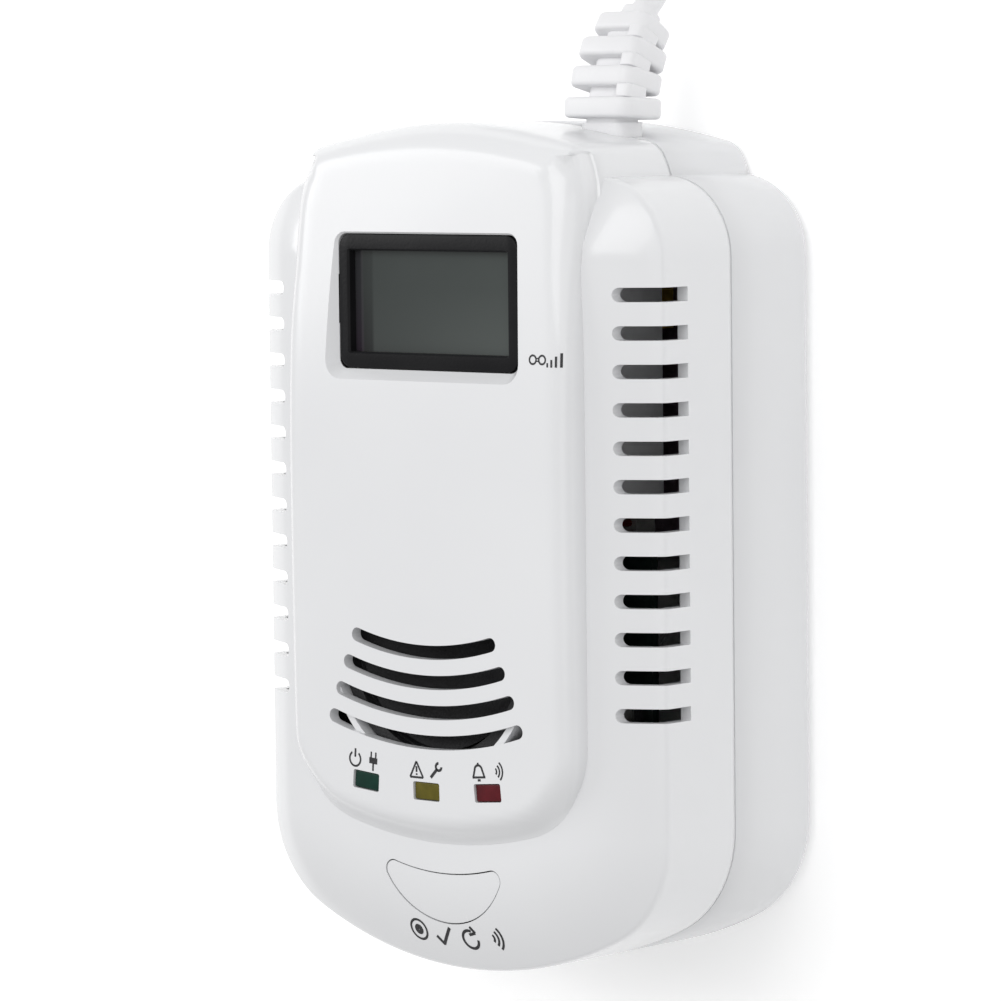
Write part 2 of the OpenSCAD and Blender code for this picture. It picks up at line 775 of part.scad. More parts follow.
module cord_tie() color("black") {
    slack = 0.4;
    out_w = 2 * (coil_half_w + slack + tie_t);
    translate([coil_x + tie_w / 2, coil_y + coil_mid_r, coil_lift + coil_tall / 2]) rotate([90, 0, -90])
        linear_extrude(tie_w) difference() {
            rounded_rect(out_w, coil_tall + 0.1 + 2 * tie_t, 2.6);
            rounded_rect(out_w - 2 * tie_t, coil_tall + 0.1, 2);
        }
}

module plug_body() color("white") {
    translate([plug_x, plug_y, plug_z]) rotate([-90, 0, 0]) {
        translate([0, 0, -3]) cylinder(h = 5, r1 = 3.3, r2 = 4);
        for (k = [0 : 3]) translate([0, 0, 3 + 3.2 * k]) cylinder(h = 2, r = 4.4 + 0.4 * k);
        cylinder(h = 16, r = 3.8);
        translate([0, 0, 15]) bar(18, 12.4, 5, 4);
        translate([0, 0, 19]) bar(22, 14, 16, 4.5);
    }
}

module plug_pins() color("goldenrod") {
    for (s = [-1, 1]) translate([plug_x + s * 6.35 - 0.75, plug_y + 35, plug_z - 3.15]) cube([1.5, 17, 6.3]);
}

rear_cover();
front_cover();
housing_screws();
lcd_bezel();
lcd_glass();
lcd_holder();
zebra_strips();
main_board();
main_board_screws();
control_chips();
led_green();
led_yellow();
led_red();
led_leads();
test_button();
switch_body();
switch_plunger();
sensor_base();
sensor_can();
sensor_mesh();
sounder_frame();
sounder_cone();
sounder_magnet();
sounder_gasket();
sounder_wires();
power_board();
power_board_screws();
transformer_core();
transformer_winding();
transformer_base();
smoothing_capacitors();
film_capacitor();
varistor();
fuse_tube();
fuse_clips();
rectifier_diodes();
terminal_block();
mains_wires();
power_header();
display_header();
board_harness();
strain_relief();
cord_run();
cord_tail();
cord_coil();
cord_tie();
plug_body();
plug_pins();
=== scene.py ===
from math import atan2, cos, exp, hypot, log, pi, radians, sin, sqrt

import bmesh
import bpy
from mathutils import Matrix, Vector
from mathutils.bvhtree import BVHTree


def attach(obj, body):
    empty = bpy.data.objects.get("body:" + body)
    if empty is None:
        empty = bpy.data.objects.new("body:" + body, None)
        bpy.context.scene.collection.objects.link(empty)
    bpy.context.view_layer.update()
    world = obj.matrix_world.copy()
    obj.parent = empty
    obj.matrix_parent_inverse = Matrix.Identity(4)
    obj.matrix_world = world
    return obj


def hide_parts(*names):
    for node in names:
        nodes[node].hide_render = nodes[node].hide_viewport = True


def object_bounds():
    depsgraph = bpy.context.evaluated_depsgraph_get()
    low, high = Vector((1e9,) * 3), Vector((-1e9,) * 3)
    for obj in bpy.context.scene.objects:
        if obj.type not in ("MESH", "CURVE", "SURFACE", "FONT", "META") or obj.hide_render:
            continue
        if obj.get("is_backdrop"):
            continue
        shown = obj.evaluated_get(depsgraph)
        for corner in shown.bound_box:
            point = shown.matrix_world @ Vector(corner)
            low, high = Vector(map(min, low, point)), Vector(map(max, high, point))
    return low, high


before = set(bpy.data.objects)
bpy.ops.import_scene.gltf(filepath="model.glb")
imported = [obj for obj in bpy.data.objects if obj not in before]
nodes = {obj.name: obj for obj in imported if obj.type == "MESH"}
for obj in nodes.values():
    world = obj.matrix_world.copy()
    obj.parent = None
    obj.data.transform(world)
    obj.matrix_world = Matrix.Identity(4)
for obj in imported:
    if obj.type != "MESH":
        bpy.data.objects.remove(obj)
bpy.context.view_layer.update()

scene = bpy.context.scene

# ---- camera --------------------------------------------------------------------------
# A long lens, level with the alarm's cord end and a good way round to its right side.
turn, tip, bank = radians(40.94), radians(4.87), radians(-0.61)
sight = Vector((sin(turn) * cos(tip), sin(tip), cos(turn) * cos(tip)))
across = Vector((cos(turn), 0, -sin(turn)))
over = sight.cross(across)
across, over = (cos(bank) * across + sin(bank) * over, -sin(bank) * across + cos(bank) * over)
middle, distance, focal_ratio, sensor = Vector((0, 0, 0.0232)), 0.8996, 5200 / 1001, 36
eye = middle + distance * sight
target = middle - 0.00444 * across + 0.0071 * over
back = (eye - target).normalized()
side = over.cross(back).normalized()
camera_data = bpy.data.cameras.new("camera")
camera_data.lens = focal_ratio * sensor
camera_data.clip_start, camera_data.clip_end = 0.05, 20
camera = bpy.data.objects.new("camera", camera_data)
camera.matrix_world = Matrix.Translation(eye) @ Matrix((side, back.cross(side), back)).transposed().to_4x4()
scene.collection.objects.link(camera)
scene.camera = camera

# ---- mains lead ----------------------------------------------------------------------
# A light round two-core lead with a white PVC sheath. It leaves the strain relief, drops to the
# table and is stored in two layers of turns, from which it crosses over itself to its plug.
LEAD = 0.0046
coil_centre, coil_out, coil_in, layer_low, layer_high = (-14.8, 148.0), 34.1, 20.0, 3.0, 7.7


class Value:
    """A socket of a material's nodes. Maths on it adds Math nodes, and node() adds any other."""

    def __init__(self, tree, socket=None):
        self.tree, self.socket = tree, socket

    def node(self, kind, feeds=None, out=0, stops=None, **settings):
        made = self.tree.nodes.new(kind)
        for name, value in settings.items():
            setattr(made, name, value)
        if stops:
            ramp = made.color_ramp.elements
            while len(ramp) < len(stops):
                ramp.new(1.0)
            for stop, (place, colour) in zip(ramp, stops):
                stop.position, stop.color = place, colour
        for name, value in (feeds or {}).items():
            if isinstance(value, Value):
                self.tree.links.new(value.socket, made.inputs[name])
            else:
                made.inputs[name].default_value = value
        return Value(self.tree, made.outputs[out])

    def math(self, operation, *others):
        return self.node("ShaderNodeMath", dict(enumerate((self,) + others)), operation=operation)

    def __add__(self, other): return self.math("ADD", other)
    def __radd__(self, other): return self.math("ADD", other)
    def __mul__(self, other): return self.math("MULTIPLY", other)
    def __rmul__(self, other): return self.math("MULTIPLY", other)
    def __sub__(self, other): return self.math("SUBTRACT", other)

    def __rsub__(self, other):
        return self.node("ShaderNodeMath", {0: other, 1: self}, operation="SUBTRACT")


def new_finish(name, **constants):
    """A material with its shader's fixed numbers set, its surface output and its Object coordinates."""
    material = bpy.data.materials.new(name)
    material.use_nodes = True
    tree = material.node_tree
    tree.nodes.clear()
    shader = tree.nodes.new("ShaderNodeBsdfPrincipled")
    for socket, value in constants.items():
        shader.inputs[socket.replace("_", " ")].default_value = value
    output = tree.nodes.new("ShaderNodeOutputMaterial")
    tree.links.new(shader.outputs[0], output.inputs["Surface"])
    start = Value(tree)
    place = start.node("ShaderNodeTexCoord", out="Object")
    return material, shader, start, place


def feed(shader, start, **links):
    for socket, value in links.items():
        start.tree.links.new(value.socket, shader.inputs[socket.replace("_", " ")])


def moulded(name, colour, dark, rough, grain=900.0, depth=0.02, waves=60.0, **constants):
    """Moulded plastic: a slow tone drift, a fine skin and broad, faint marks in its gloss."""
    material, shader, start, place = new_finish(name, IOR=1.49, **constants)
    drift = start.node("ShaderNodeTexNoise", {"Vector": place, "Scale": waves, "Detail": 3.0})
    skin = start.node("ShaderNodeTexNoise", {"Vector": place, "Scale": grain, "Detail": 2.0})
    streak = start.node("ShaderNodeTexNoise", {
        "Vector": start.node("ShaderNodeMapping", {"Vector": place, "Scale": (9.0, 70.0, 30.0)}),
        "Scale": 4.0, "Detail": 1.0})
    tone = start.node("ShaderNodeValToRGB", {"Fac": drift}, stops=[(0.3, (*dark, 1)), (0.7, (*colour, 1))])
    feed(shader, start, Base_Color=tone, Roughness=rough + streak * 0.06 - 0.03,
         Normal=start.node("ShaderNodeBump", {"Height": skin, "Strength": depth * 4, "Distance": 0.0002}))
    return material


def object_from(bm, name, material, body="housing", smooth=35, scale=0.001):
    """Turns a mesh worked in millimetres into a piece of the alarm that rides on a body."""
    bmesh.ops.scale(bm, vec=(scale,) * 3, verts=bm.verts)
    mesh = bpy.data.meshes.new(name)
    bm.to_mesh(mesh)
    bm.free()
    piece = bpy.data.objects.new(name, mesh)
    scene.collection.objects.link(piece)
    if material:
        mesh.materials.append(material)
    for face in mesh.polygons:
        face.use_smooth = True
    if smooth:
        mesh.set_sharp_from_angle(angle=radians(smooth))
    if body:
        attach(piece, body)
    return piece


soft_white = moulded("soft_white_pvc", (0.80, 0.80, 0.81), (0.77, 0.77, 0.785), 0.42, grain=1400, depth=0.05)

route = [Vector(p) for p in [
    (19.3, 88.9, 15.5), (19.3, 90.3, 14.1), (19.3, 92.2, 12.2), (19.3, 94.4, 10), (19.3, 98, 6.9),
    (19.3, 102, 4.5), (19.3, 106, 3), (19.3, 110, 2.4), (19.3, 114, 2.3), (19.3, 120, 2.3), (19.3, 126, 2.4),
    (19.3, 132, 2.7), (19.3, 136, 2.9), (19.3, 142, 3.0)]]
steps, layer_turns, climb_angle = 72, 3, 284.8
inward = layer_turns * steps
rise = round(climb_angle / 360 * steps)
for k in range(2 * inward + rise + 1):
    if k <= inward:
        radius, height = coil_out + (coil_in - coil_out) * k / inward, layer_low
    elif k <= inward + rise:
        part = (k - inward) / rise
        radius, height = coil_in, layer_low + (layer_high - layer_low) * part * part * (3 - 2 * part)
    else:
        radius, height = coil_in + (coil_out - coil_in) * (k - inward - rise) / inward, layer_high
    angle = 2 * pi * k / steps
    route.append(Vector((coil_centre[0] + radius * cos(angle), coil_centre[1] + radius * sin(angle), height)))
route += [Vector(p) for p in [
    (0, 113.9, 7.9), (8, 113.6, 7.8), (14, 113.7, 7.6), (19.3, 114, 7.3), (25, 115, 6.3), (31, 117.2, 5.2),
    (36, 120.5, 4.5), (40, 125, 4.4), (42.7, 130.5, 5.1), (43.8, 136, 6.5), (44, 139.6, 7), (44, 144.5, 7)]]


def between(points, spacing):
    """Points along a smooth curve through the given ones, about spacing apart."""
    found = []
    for i in range(len(points) - 1):
        p0, p1 = points[max(i - 1, 0)], points[i]
        p2, p3 = points[i + 1], points[min(i + 2, len(points) - 1)]
        pieces = max(1, round((p2 - p1).length / spacing))
        for j in range(pieces):
            t = j / pieces
            found.append(0.5 * (2 * p1 + (p2 - p0) * t + (2 * p0 - 5 * p1 + 4 * p2 - p3) * t * t
                                + (3 * p1 - p0 - 3 * p2 + p3) * t ** 3))
    return found + [points[-1]]


fine_route = between(route, 1.8)
lead_length = sum((b - a).length for a, b in zip(fine_route, fine_route[1:])) / 1000
lead_curve = bpy.data.curves.new("mains_lead", "CURVE")
lead_curve.dimensions = "3D"
lead_curve.bevel_depth = LEAD / 2
lead_curve.bevel_resolution = 5
lead_curve.use_fill_caps = True
lead_line = lead_curve.splines.new("POLY")
lead_line.points.add(len(fine_route) - 1)
for point, place in zip(lead_line.points, fine_route):
    point.co = (*(place / 1000), 1)
lead_line.use_smooth = True
lead = bpy.data.objects.new("mains_lead", lead_curve)
scene.collection.objects.link(lead)
lead_curve.materials.append(soft_white)
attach(lead, "housing")
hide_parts("cord_run", "cord_tail", "cord_coil")

# ---- strain relief -------------------------------------------------------------------
# A tapered sleeve moulded onto the lead in the same white PVC: four rounded collars joined by a
# core and a web. Its neck sits in the gate between the covers, and it bends towards the wall side.
relief_x, relief_y, relief_z, bend_r, relief_angle = 19.3, 71.2, 22.0, 27.0, 45.0
relief_length = pi * bend_r * relief_angle / 180
collar_w, collar_h, collar_thick, collar_first, collar_pitch = 15.5, 10.8, 3.5, 3.4, 4.7
core_parts = 12


def on_bend(distance):
    """The frame of the sleeve's middle line at a distance from the housing."""
    a = radians(distance / relief_length * relief_angle)
    return (Matrix.Translation((relief_x, relief_y + bend_r * sin(a), relief_z - bend_r * (1 - cos(a))))
            @ Matrix.Rotation(-pi / 2 - a, 4, "X"))


def soften(bm, made, edges, offset):
    """Rounds some edges of a shape and returns all its vertices."""
    out = bmesh.ops.bevel(bm, geom=list(edges), offset=offset, segments=3, profile=0.5,
                          affect="EDGES", material=-1)
    return list({v for v in made if v.is_valid} | set(out["verts"]))


def rounded_bar(bm, width, depth, height, corner, rim, place):
    """A bar of rounded section standing on the middle of its foot, with soft rims, set at a place."""
    made = bmesh.ops.create_cube(bm, size=1)["verts"]
    bmesh.ops.scale(bm, vec=(width, depth, height), verts=made)
    bmesh.ops.translate(bm, vec=(0, 0, height / 2), verts=made)
    upright = {e for v in made for e in v.link_edges
               if abs((e.verts[0].co - e.verts[1].co).normalized().z) > 0.7}
    out = bmesh.ops.bevel(bm, geom=list(upright), offset=corner, segments=7, profile=0.5,
                          affect="EDGES", material=-1)
    made = list({v for v in made if v.is_valid} | set(out["verts"]))
    if rim:
        caps = [f for f in {f for v in made for f in v.link_faces} if len(f.verts) > 8]
        made = soften(bm, made, {e for f in caps for e in f.edges}, rim)
    bmesh.ops.transform(bm, matrix=place, verts=made)
    return made


def towards_head(x, y, z):
    """A place whose own Z runs along the alarm's +Y, out of its cord end."""
    return Matrix.Translation((x, y, z)) @ Matrix.Rotation(-pi / 2, 4, "X")


bm = bmesh.new()
rounded_bar(bm, 12, 8.6, 3.2, 2, 0.4, towards_head(relief_x, 62.8, relief_z))
rounded_bar(bm, 9.4, 6.5, 6.4, 1.5, 0, towards_head(relief_x, 65.8, relief_z))
for k, size in enumerate([1, 0.93, 0.9, 0.77]):
    place = on_bend(collar_first + collar_pitch * k - collar_thick / 2)
    rounded_bar(bm, collar_w * size, collar_h * size, collar_thick, 3 * size, 0.7, place)
for k in range(core_parts):
    place = on_bend(relief_length * k / core_parts - 0.4)
    rounded_bar(bm, 8.3 - 0.16 * k, 6.1 - 0.08 * k, relief_length / core_parts + 0.8, 1.9, 0, place)
for k, size in enumerate([0.97, 0.92, 0.84]):
    web = rounded_bar(bm, 3.2, 5.4, 2.2, 1, 0.2, Matrix())
    bmesh.ops.transform(bm, matrix=on_bend(collar_first + collar_pitch * k + 1.25)
                        @ Matrix.Translation((5.7 * size, -2.3 * size, 0)), verts=web)
rounded_bar(bm, 5.9, 5.4, 2.2, 2.4, 0.5, on_bend(relief_length - 1.6))
relief = object_from(bm, "strain_relief_sleeve", soft_white)
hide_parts("strain_relief")

# ---- coil tie and plug ---------------------------------------------------------------
# A black rubber band holds the stored turns. The plug is a two-pin one moulded onto the lead in
# white PVC, with a ribbed sleeve, grip ridges on its sides and two flat nickelled brass pins.
band_rubber = moulded("band_rubber", (0.022, 0.022, 0.024), (0.014, 0.014, 0.015), 0.62,
                      grain=2200, depth=0.2)


def dress(names, material):
    """Gives pieces that keep their frame shape the finish of the real part."""
    for name in names.split():
        nodes[name].data.materials.clear()
        nodes[name].data.materials.append(material)


dress("cord_tie", band_rubber)

upright = towards_head(44.0, 146.0, 7.0)
bm = bmesh.new()
rounded_bar(bm, 22, 14, 16, 4.5, 1.2, upright @ Matrix.Translation((0, 0, 19)))
rounded_bar(bm, 18, 12.4, 7, 4, 0.8, upright @ Matrix.Translation((0, 0, 14.4)))
for k in range(5):
    for s in (-1, 1):
        ridge = rounded_bar(bm, 1.2, 9.4, 1.2, 0.3, 0.25, Matrix())
        bmesh.ops.transform(bm, matrix=upright @ Matrix.Translation((s * 10.4, 0, 21.6 + 2.2 * k)),
                            verts=ridge)


def cone(bm, radius1, radius2, depth):
    return bmesh.ops.create_cone(bm, cap_ends=True, segments=40, radius1=radius1, radius2=radius2,
                                 depth=depth)["verts"]


for k in range(4):
    made = cone(bm, 4.4 + 0.4 * k, 4.5 + 0.4 * k, 2)
    rims = {e for v in made for e in v.link_edges if abs(e.verts[0].co.z - e.verts[1].co.z) < 0.01}
    made = soften(bm, made, rims, 0.4)
    bmesh.ops.transform(bm, matrix=upright @ Matrix.Translation((0, 0, 4 + 3.2 * k)), verts=made)
for low, high, r1, r2 in ((-3, 2.6, 3.2, 3.9), (0, 16, 3.8, 3.9)):
    made = cone(bm, r1, r2, high - low)
    bmesh.ops.transform(bm, matrix=upright @ Matrix.Translation((0, 0, (low + high) / 2)), verts=made)
plug = object_from(bm, "moulded_plug", soft_white)
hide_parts("plug_body")

# ---- the moulded form of the housing -------------------------------------------------
# Both covers follow one outline: straight sides, a rounded foot, and a narrower column at the cord
# end. The front swells up from a soft crease, and a raised panel with rolled edges runs down it.
SEAM, CREASE, FILLET, WALL = 22.0, 39.8, 1.5, 2.2
SWELL, SWELL_REACH = 6.2, 18
PANEL_TOP, PANEL_TOP_Y, HEAD_CURVE, FOOT_CURVE, ROLL = 50.4, 15, 380, 2400, 3.3
# Each outline is its half width, then the corner radius, end radius and end of its foot and its head.
strip_shape = (45.0, (20.0, 76.0, -72.5), (13.5, 300.0, 65.0))
panel_shape = (32.6, (16.0, 80.0, -50.0), (2.2, 135.0, 72.5))
fillet_turn = radians(90) - atan2(SWELL * 2 / SWELL_REACH, 1)
fillet_z = CREASE - FILLET * sin(fillet_turn / 2) / cos(fillet_turn / 2)


def corner_of(half, end):
    """Centre of the corner arc, centre of the end arc and the angle at which they meet."""
    corner_r, end_r, end_y = end
    way = 1 if end_y > 0 else -1
    cx, ey = half - corner_r, end_y - way * end_r
    rise_y = sqrt((end_r - corner_r) ** 2 - cx * cx)
    return cx, ey + way * rise_y, ey, atan2(cx, rise_y), way


def inside(shape, x, y):
    """Distance in from an outline, and the direction out of it, at a point."""
    half, foot, head = shape
    end = head if y > 0 else foot
    cx, cy, ey, meet, way = corner_of(half, end)
    ax = abs(x)
    dx, dy = ax - cx, (y - cy) * way
    if dy > 0 and dx > 0 and atan2(dx, dy) > meet:
        far = hypot(dx, dy)
        depth, nx, ny = end[0] - far, dx / far, dy / far * way
    else:
        far = hypot(ax, y - ey)
        depth, nx, ny = end[1] - far, ax / far, (y - ey) / far
        if half - ax < depth:
            depth, nx, ny = half - ax, 1.0, 0.0
    return depth, (nx if x >= 0 else -nx), ny


def crown_height(d, inset=0.0):
    """Height of the front at a distance in from the outline: a small fillet, then the swelling."""
    if inset == 0 and d < FILLET * (1 - cos(fillet_turn)):
        return fillet_z + sqrt(max(FILLET ** 2 - (FILLET - d) ** 2, 0))
    return CREASE + SWELL * (1 - (1 - min(d, SWELL_REACH) / SWELL_REACH) ** 2) - inset


def splay(y):
    """How the column widens from the panel to the shoulders and draws in again to the cord end."""
    return (1 + soft_step(45, 58, y) * (33.2 / 32.6 - 1)) * (1 - 0.00096 * max(y - 58, 0) ** 2)


def panel_top(y):
    """Height of the panel's middle: it bends down towards the head and a little towards the foot."""
    curve = HEAD_CURVE if y > PANEL_TOP_Y else FOOT_CURVE
    return PANEL_TOP - (y - PANEL_TOP_Y) ** 2 / (2 * curve)


def soft_step(a, b, t):
    t = min(max((t - a) / (b - a), 0), 1)
    return t * t * (3 - 2 * t)


def panel_height(x, y, inset=0.0):
    """Height of the raised panel: rolled at the sides and head, running out softly at the foot."""
    top = panel_top(y)
    if inset:
        return min(top - inset, panel_height(x, y) - 1.1)
    e, _, ny = inside(panel_shape, x, y)
    e = max(e, 0)
    if e > 0.6 and y > 30:
        to_side, to_end = panel_shape[0] - abs(x), 135 - hypot(x, y + 62.5)
        both = -1.5 * log(exp(-to_side / 1.5) + exp(-to_end / 1.5))
        e = max(e + (both - e) * soft_step(0.6, 3.5, e), 0.6)
    drop = ROLL + 2.7 * soft_step(34, 64, y)
    low = min(44, top - drop - 0.2)
    rolled = (low + (top - drop - low) * e / 0.6) if e < 0.6 else \
        top - drop + drop * sqrt(max(1 - (1 - min((e - 0.6) / (drop + 0.2), 1)) ** 2, 0))
    head = top - 5.4 + 5.4 * sqrt(max(1 - (1 - min(e / 5.6, 1)) ** 2, 0))
    foot = 45.9 + (top - 45.9) * soft_step(-0.6, 4.6, e)
    at_foot, at_head = soft_step(0.15, 0.8, -ny), soft_step(0.2, 0.7, ny)
    side_part = 1 - at_foot - at_head
    return side_part * rolled + at_foot * foot + at_head * head


def moved_in(shape, inset):
    """The outline offset inwards."""
    half, foot, head = shape
    return (half - inset, (foot[0] - inset, foot[1] - inset, foot[2] + inset),
            (head[0] - inset, head[1] - inset, head[2] - inset))


def verts_in(geom):
    return [g for g in geom if isinstance(g, bmesh.types.BMVert)]


def faces_in(geom):
    return [g for g in geom if isinstance(g, bmesh.types.BMFace)]


def spun(bm, vert, centre, angle, count):
    """Spins a vertex about a centre into an arc and returns the arc's far end."""
    out = bmesh.ops.spin(bm, geom=[vert], cent=(*centre, vert.co.z), axis=(0, 0, 1), angle=angle, steps=count)
    return verts_in(out["geom_last"])[0]


def outline_face(bm, shape, z, corner_steps=14, end_steps=22, side_steps=1):
    """The outline as one face: half of it spun and extruded from one vertex, then mirrored."""
    half, foot, head = shape
    cx, cy, ey, meet, _ = corner_of(half, foot)
    hx, hy, hey, head_meet, _ = corner_of(half, head)
    tip = bm.verts.new((0, foot[2], z))
    tip = spun(bm, tip, (0, ey), meet, end_steps)
    tip = spun(bm, tip, (cx, cy), pi / 2 - meet, corner_steps)
    for k in range(side_steps):
        tip = bmesh.ops.extrude_vert_indiv(bm, verts=[tip])["verts"][0]
        tip.co = Vector((half, cy + (hy - cy) * (k + 1) / side_steps, z))
    tip = spun(bm, tip, (hx, hy), pi / 2 - head_meet, corner_steps)
    spun(bm, tip, (0, hey), head_meet, end_steps)
    bmesh.ops.mirror(bm, geom=bm.verts[:] + bm.edges[:], matrix=Matrix(), merge_dist=0.001, axis="X")
    bmesh.ops.remove_doubles(bm, verts=bm.verts, dist=0.001)
    return bmesh.ops.contextual_create(bm, geom=bm.edges[:])["faces"][0]


def raise_face(bm, face, z, base=False):
    """Extrudes a face straight up to a height and returns it. The first face stays as the base."""
    out = bmesh.ops.extrude_face_region(bm, geom=[face])
    top = faces_in(out["geom"])[0]
    if not base:
        bmesh.ops.delete(bm, geom=[face], context="FACES_ONLY")
    for v in top.verts:
        v.co.z = z
    return top


def slice_face(bm, face, across_step, along_step):
    """Cuts a flat face into cells with planes, so that it can take a curved height."""
    xs = [v.co.x for v in face.verts]
    ys = [v.co.y for v in face.verts]
    cells = [face]
    for axis, low, high, step in ((0, min(xs), max(xs), across_step), (1, min(ys), max(ys), along_step)):
        count = int((high - low) / step)
        for k in range(1, count):
            point, normal = Vector(), Vector()
            point[axis], normal[axis] = low + (high - low) * k / count, 1
            edges, verts = {e for f in cells for e in f.edges}, {v for f in cells for v in f.verts}
            out = bmesh.ops.bisect_plane(bm, geom=cells + list(edges) + list(verts), dist=0.0005,
                                         plane_co=point, plane_no=normal)
            cells = faces_in(out["geom"])
    return cells


def crowned(low, inset=0.0):
    """The whole width of the housing as a solid: walls, the soft crease and the swelling front."""
    bm = bmesh.new()
    high = fillet_z if not inset else crown_height(inset, inset)
    top = raise_face(bm, outline_face(bm, moved_in(strip_shape, inset), low), low + 0.6, base=True)
    top = raise_face(bm, top, high - 0.4)
    top = raise_face(bm, top, high)
    rings = [3, 6.5, 9.5] if inset else [
        0.03, 0.12, 0.28, 0.46, 0.65, 0.95, 1.5, 2.4, 3.6, 5, 6.6, 8.3, 10, 11.6]
    last = 0
    for d in rings:
        bmesh.ops.inset_region(bm, faces=[top], thickness=d - last, use_boundary=True, use_even_offset=True)
        last = d
        for v in top.verts:
            v.co.z = crown_height(d + inset, inset)
    for f in slice_face(bm, top, 3.2, 1.6 if not inset else 3.5):
        for v in f.verts:
            v.co.z = crown_height(inside(strip_shape, v.co.x, v.co.y)[0], inset)
    return outward(bm)


def outward(bm):
    """Turns every face of a closed solid outwards."""
    bmesh.ops.recalc_face_normals(bm, faces=bm.faces)
    if bm.calc_volume(signed=True) < 0:
        bmesh.ops.reverse_faces(bm, faces=bm.faces)
    return bm


def panelled(low, inset=0.0):
    """The column and the raised panel as a solid. Its top is worked flat at 0 and then lifted."""
    bm = bmesh.new()
    face = outline_face(bm, moved_in(panel_shape, inset), low, end_steps=30, side_steps=24 if inset else 50)
    top = raise_face(bm, face, low + 0.6, base=True)
    top = raise_face(bm, top, 36)
    top = raise_face(bm, top, 38)
    for v in top.verts:
        v.co.z = panel_height(v.co.x, v.co.y, inset)
    rings = [] if inset else [0.04, 0.14, 0.3, 0.6, 0.75, 1.0, 1.4, 1.9]
    last = 0
    for e in rings:
        for v in top.verts:
            v.co.z = 0
        bmesh.ops.inset_region(bm, faces=[top], thickness=e - last, use_boundary=True, use_even_offset=True)
        last = e
    for v in top.verts:
        v.co.z = 0
    slice_face(bm, top, 1.05 if not inset else 4, 1.2 if not inset else 3)
    for v in bm.verts:
        if abs(v.co.z) < 0.001:
            v.co.z = panel_height(v.co.x, v.co.y, inset)
        v.co.x *= splay(v.co.y)
    return outward(bm)


def loose(bm, name):
    """A form or a cutter, which is no piece of the alarm."""
    return object_from(bm, name, None, body=None, smooth=0)


def carve(piece, tool, operation="DIFFERENCE", keep_tool=False):
    """Cuts, joins or keeps the common part of two closed solids, and takes the tool away."""
    cut = piece.modifiers.new("cut", "BOOLEAN")
    cut.operation, cut.object, cut.solver = operation, tool, "MANIFOLD"
    mesh = bpy.data.meshes.new_from_object(piece.evaluated_get(bpy.context.evaluated_depsgraph_get()))
    piece.modifiers.clear()
    piece.data = mesh
    if not keep_tool:
        bpy.data.objects.remove(tool)
    return piece


def skin(piece, forms):
    """Gives the faces that lie on a smooth form that form's own normals, so cuts leave no dents."""
    trees = []
    for form in forms:
        bm = bmesh.new()
        bm.from_mesh(form.data)
        bmesh.ops.triangulate(bm, faces=bm.faces)
        bm.normal_update()
        bm.faces.ensure_lookup_table()
        trees.append((bm, BVHTree.FromBMesh(bm)))
    mesh = piece.data
    for face in mesh.polygons:
        face.use_smooth = True
    mesh.set_sharp_from_angle(angle=radians(32))
    normals = [Vector(n.vector) for n in mesh.corner_normals]
    for face in mesh.polygons:
        for bm, tree in trees:
            spot, normal, _, _ = tree.find_nearest(face.center, 0.00004)
            if spot is None or normal.dot(face.normal) < 0.9 and face.area > 4e-9:
                continue
            for loop in face.loop_indices:
                co = mesh.vertices[mesh.loops[loop].vertex_index].co
                spot, _, index, _ = tree.find_nearest(co)
                a, b, c = bm.faces[index].verts
                area = [(q.co - spot).cross(r.co - spot).length for q, r in ((b, c), (c, a), (a, b))]
                mixed = a.normal * area[0] + b.normal * area[1] + c.normal * area[2]
                normals[loop] = mixed.normalized() if mixed.length > 0 else normal
            break
    mesh.normals_split_custom_set(normals)
    for bm, _ in trees:
        bm.free()


white_abs = moulded("white_abs", (0.765, 0.77, 0.782), (0.745, 0.75, 0.764), 0.24, grain=300, depth=0.0005,
                    waves=25, Coat_Weight=0.25, Coat_Roughness=0.08)

# ---- rear cover ----------------------------------------------------------------------
# The wall side of the housing, moulded in gloss white ABS with a rounded back edge. It carries the
# keyholes, the screw wells and the posts for the power board, and meets the front at the seam.
def rear_block(shape, radius, side_steps=1):
    """A solid with a rounded back edge, from the wall to a little above the seam."""
    bm = bmesh.new()
    back = outline_face(bm, moved_in(shape, -0.02), SEAM + 6, side_steps=side_steps)
    back = raise_face(bm, back, radius + 0.5, base=True)
    back = raise_face(bm, back, radius)
    last = 0
    for k in range(1, 9):
        a = pi / 2 * k / 8
        bmesh.ops.inset_region(bm, faces=[back], thickness=radius * (1 - cos(a)) - last, use_even_offset=True)
        last = radius * (1 - cos(a))
        for v in back.verts:
            v.co.z = radius * (1 - sin(a))
    if shape is panel_shape:
        for v in bm.verts:
            v.co.x *= splay(v.co.y)
    return outward(bm)


rear_form = carve(loose(rear_block(strip_shape, 3.0), "rear_form"),
                  loose(rear_block(panel_shape, 2.0, 50), "column_form"), "UNION")
bm = bmesh.new()
bm.from_mesh(nodes["rear_cover"].data)
bmesh.ops.remove_doubles(bm, verts=bm.verts, dist=0.000002)
bmesh.ops.scale(bm, vec=(1000,) * 3, verts=bm.verts)
rear = object_from(bm, "rear_shell", white_abs)
carve(rear, rear_form, "INTERSECT", keep_tool=True)
skin(rear, [rear_form])
bpy.data.objects.remove(rear_form)
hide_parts("rear_cover")

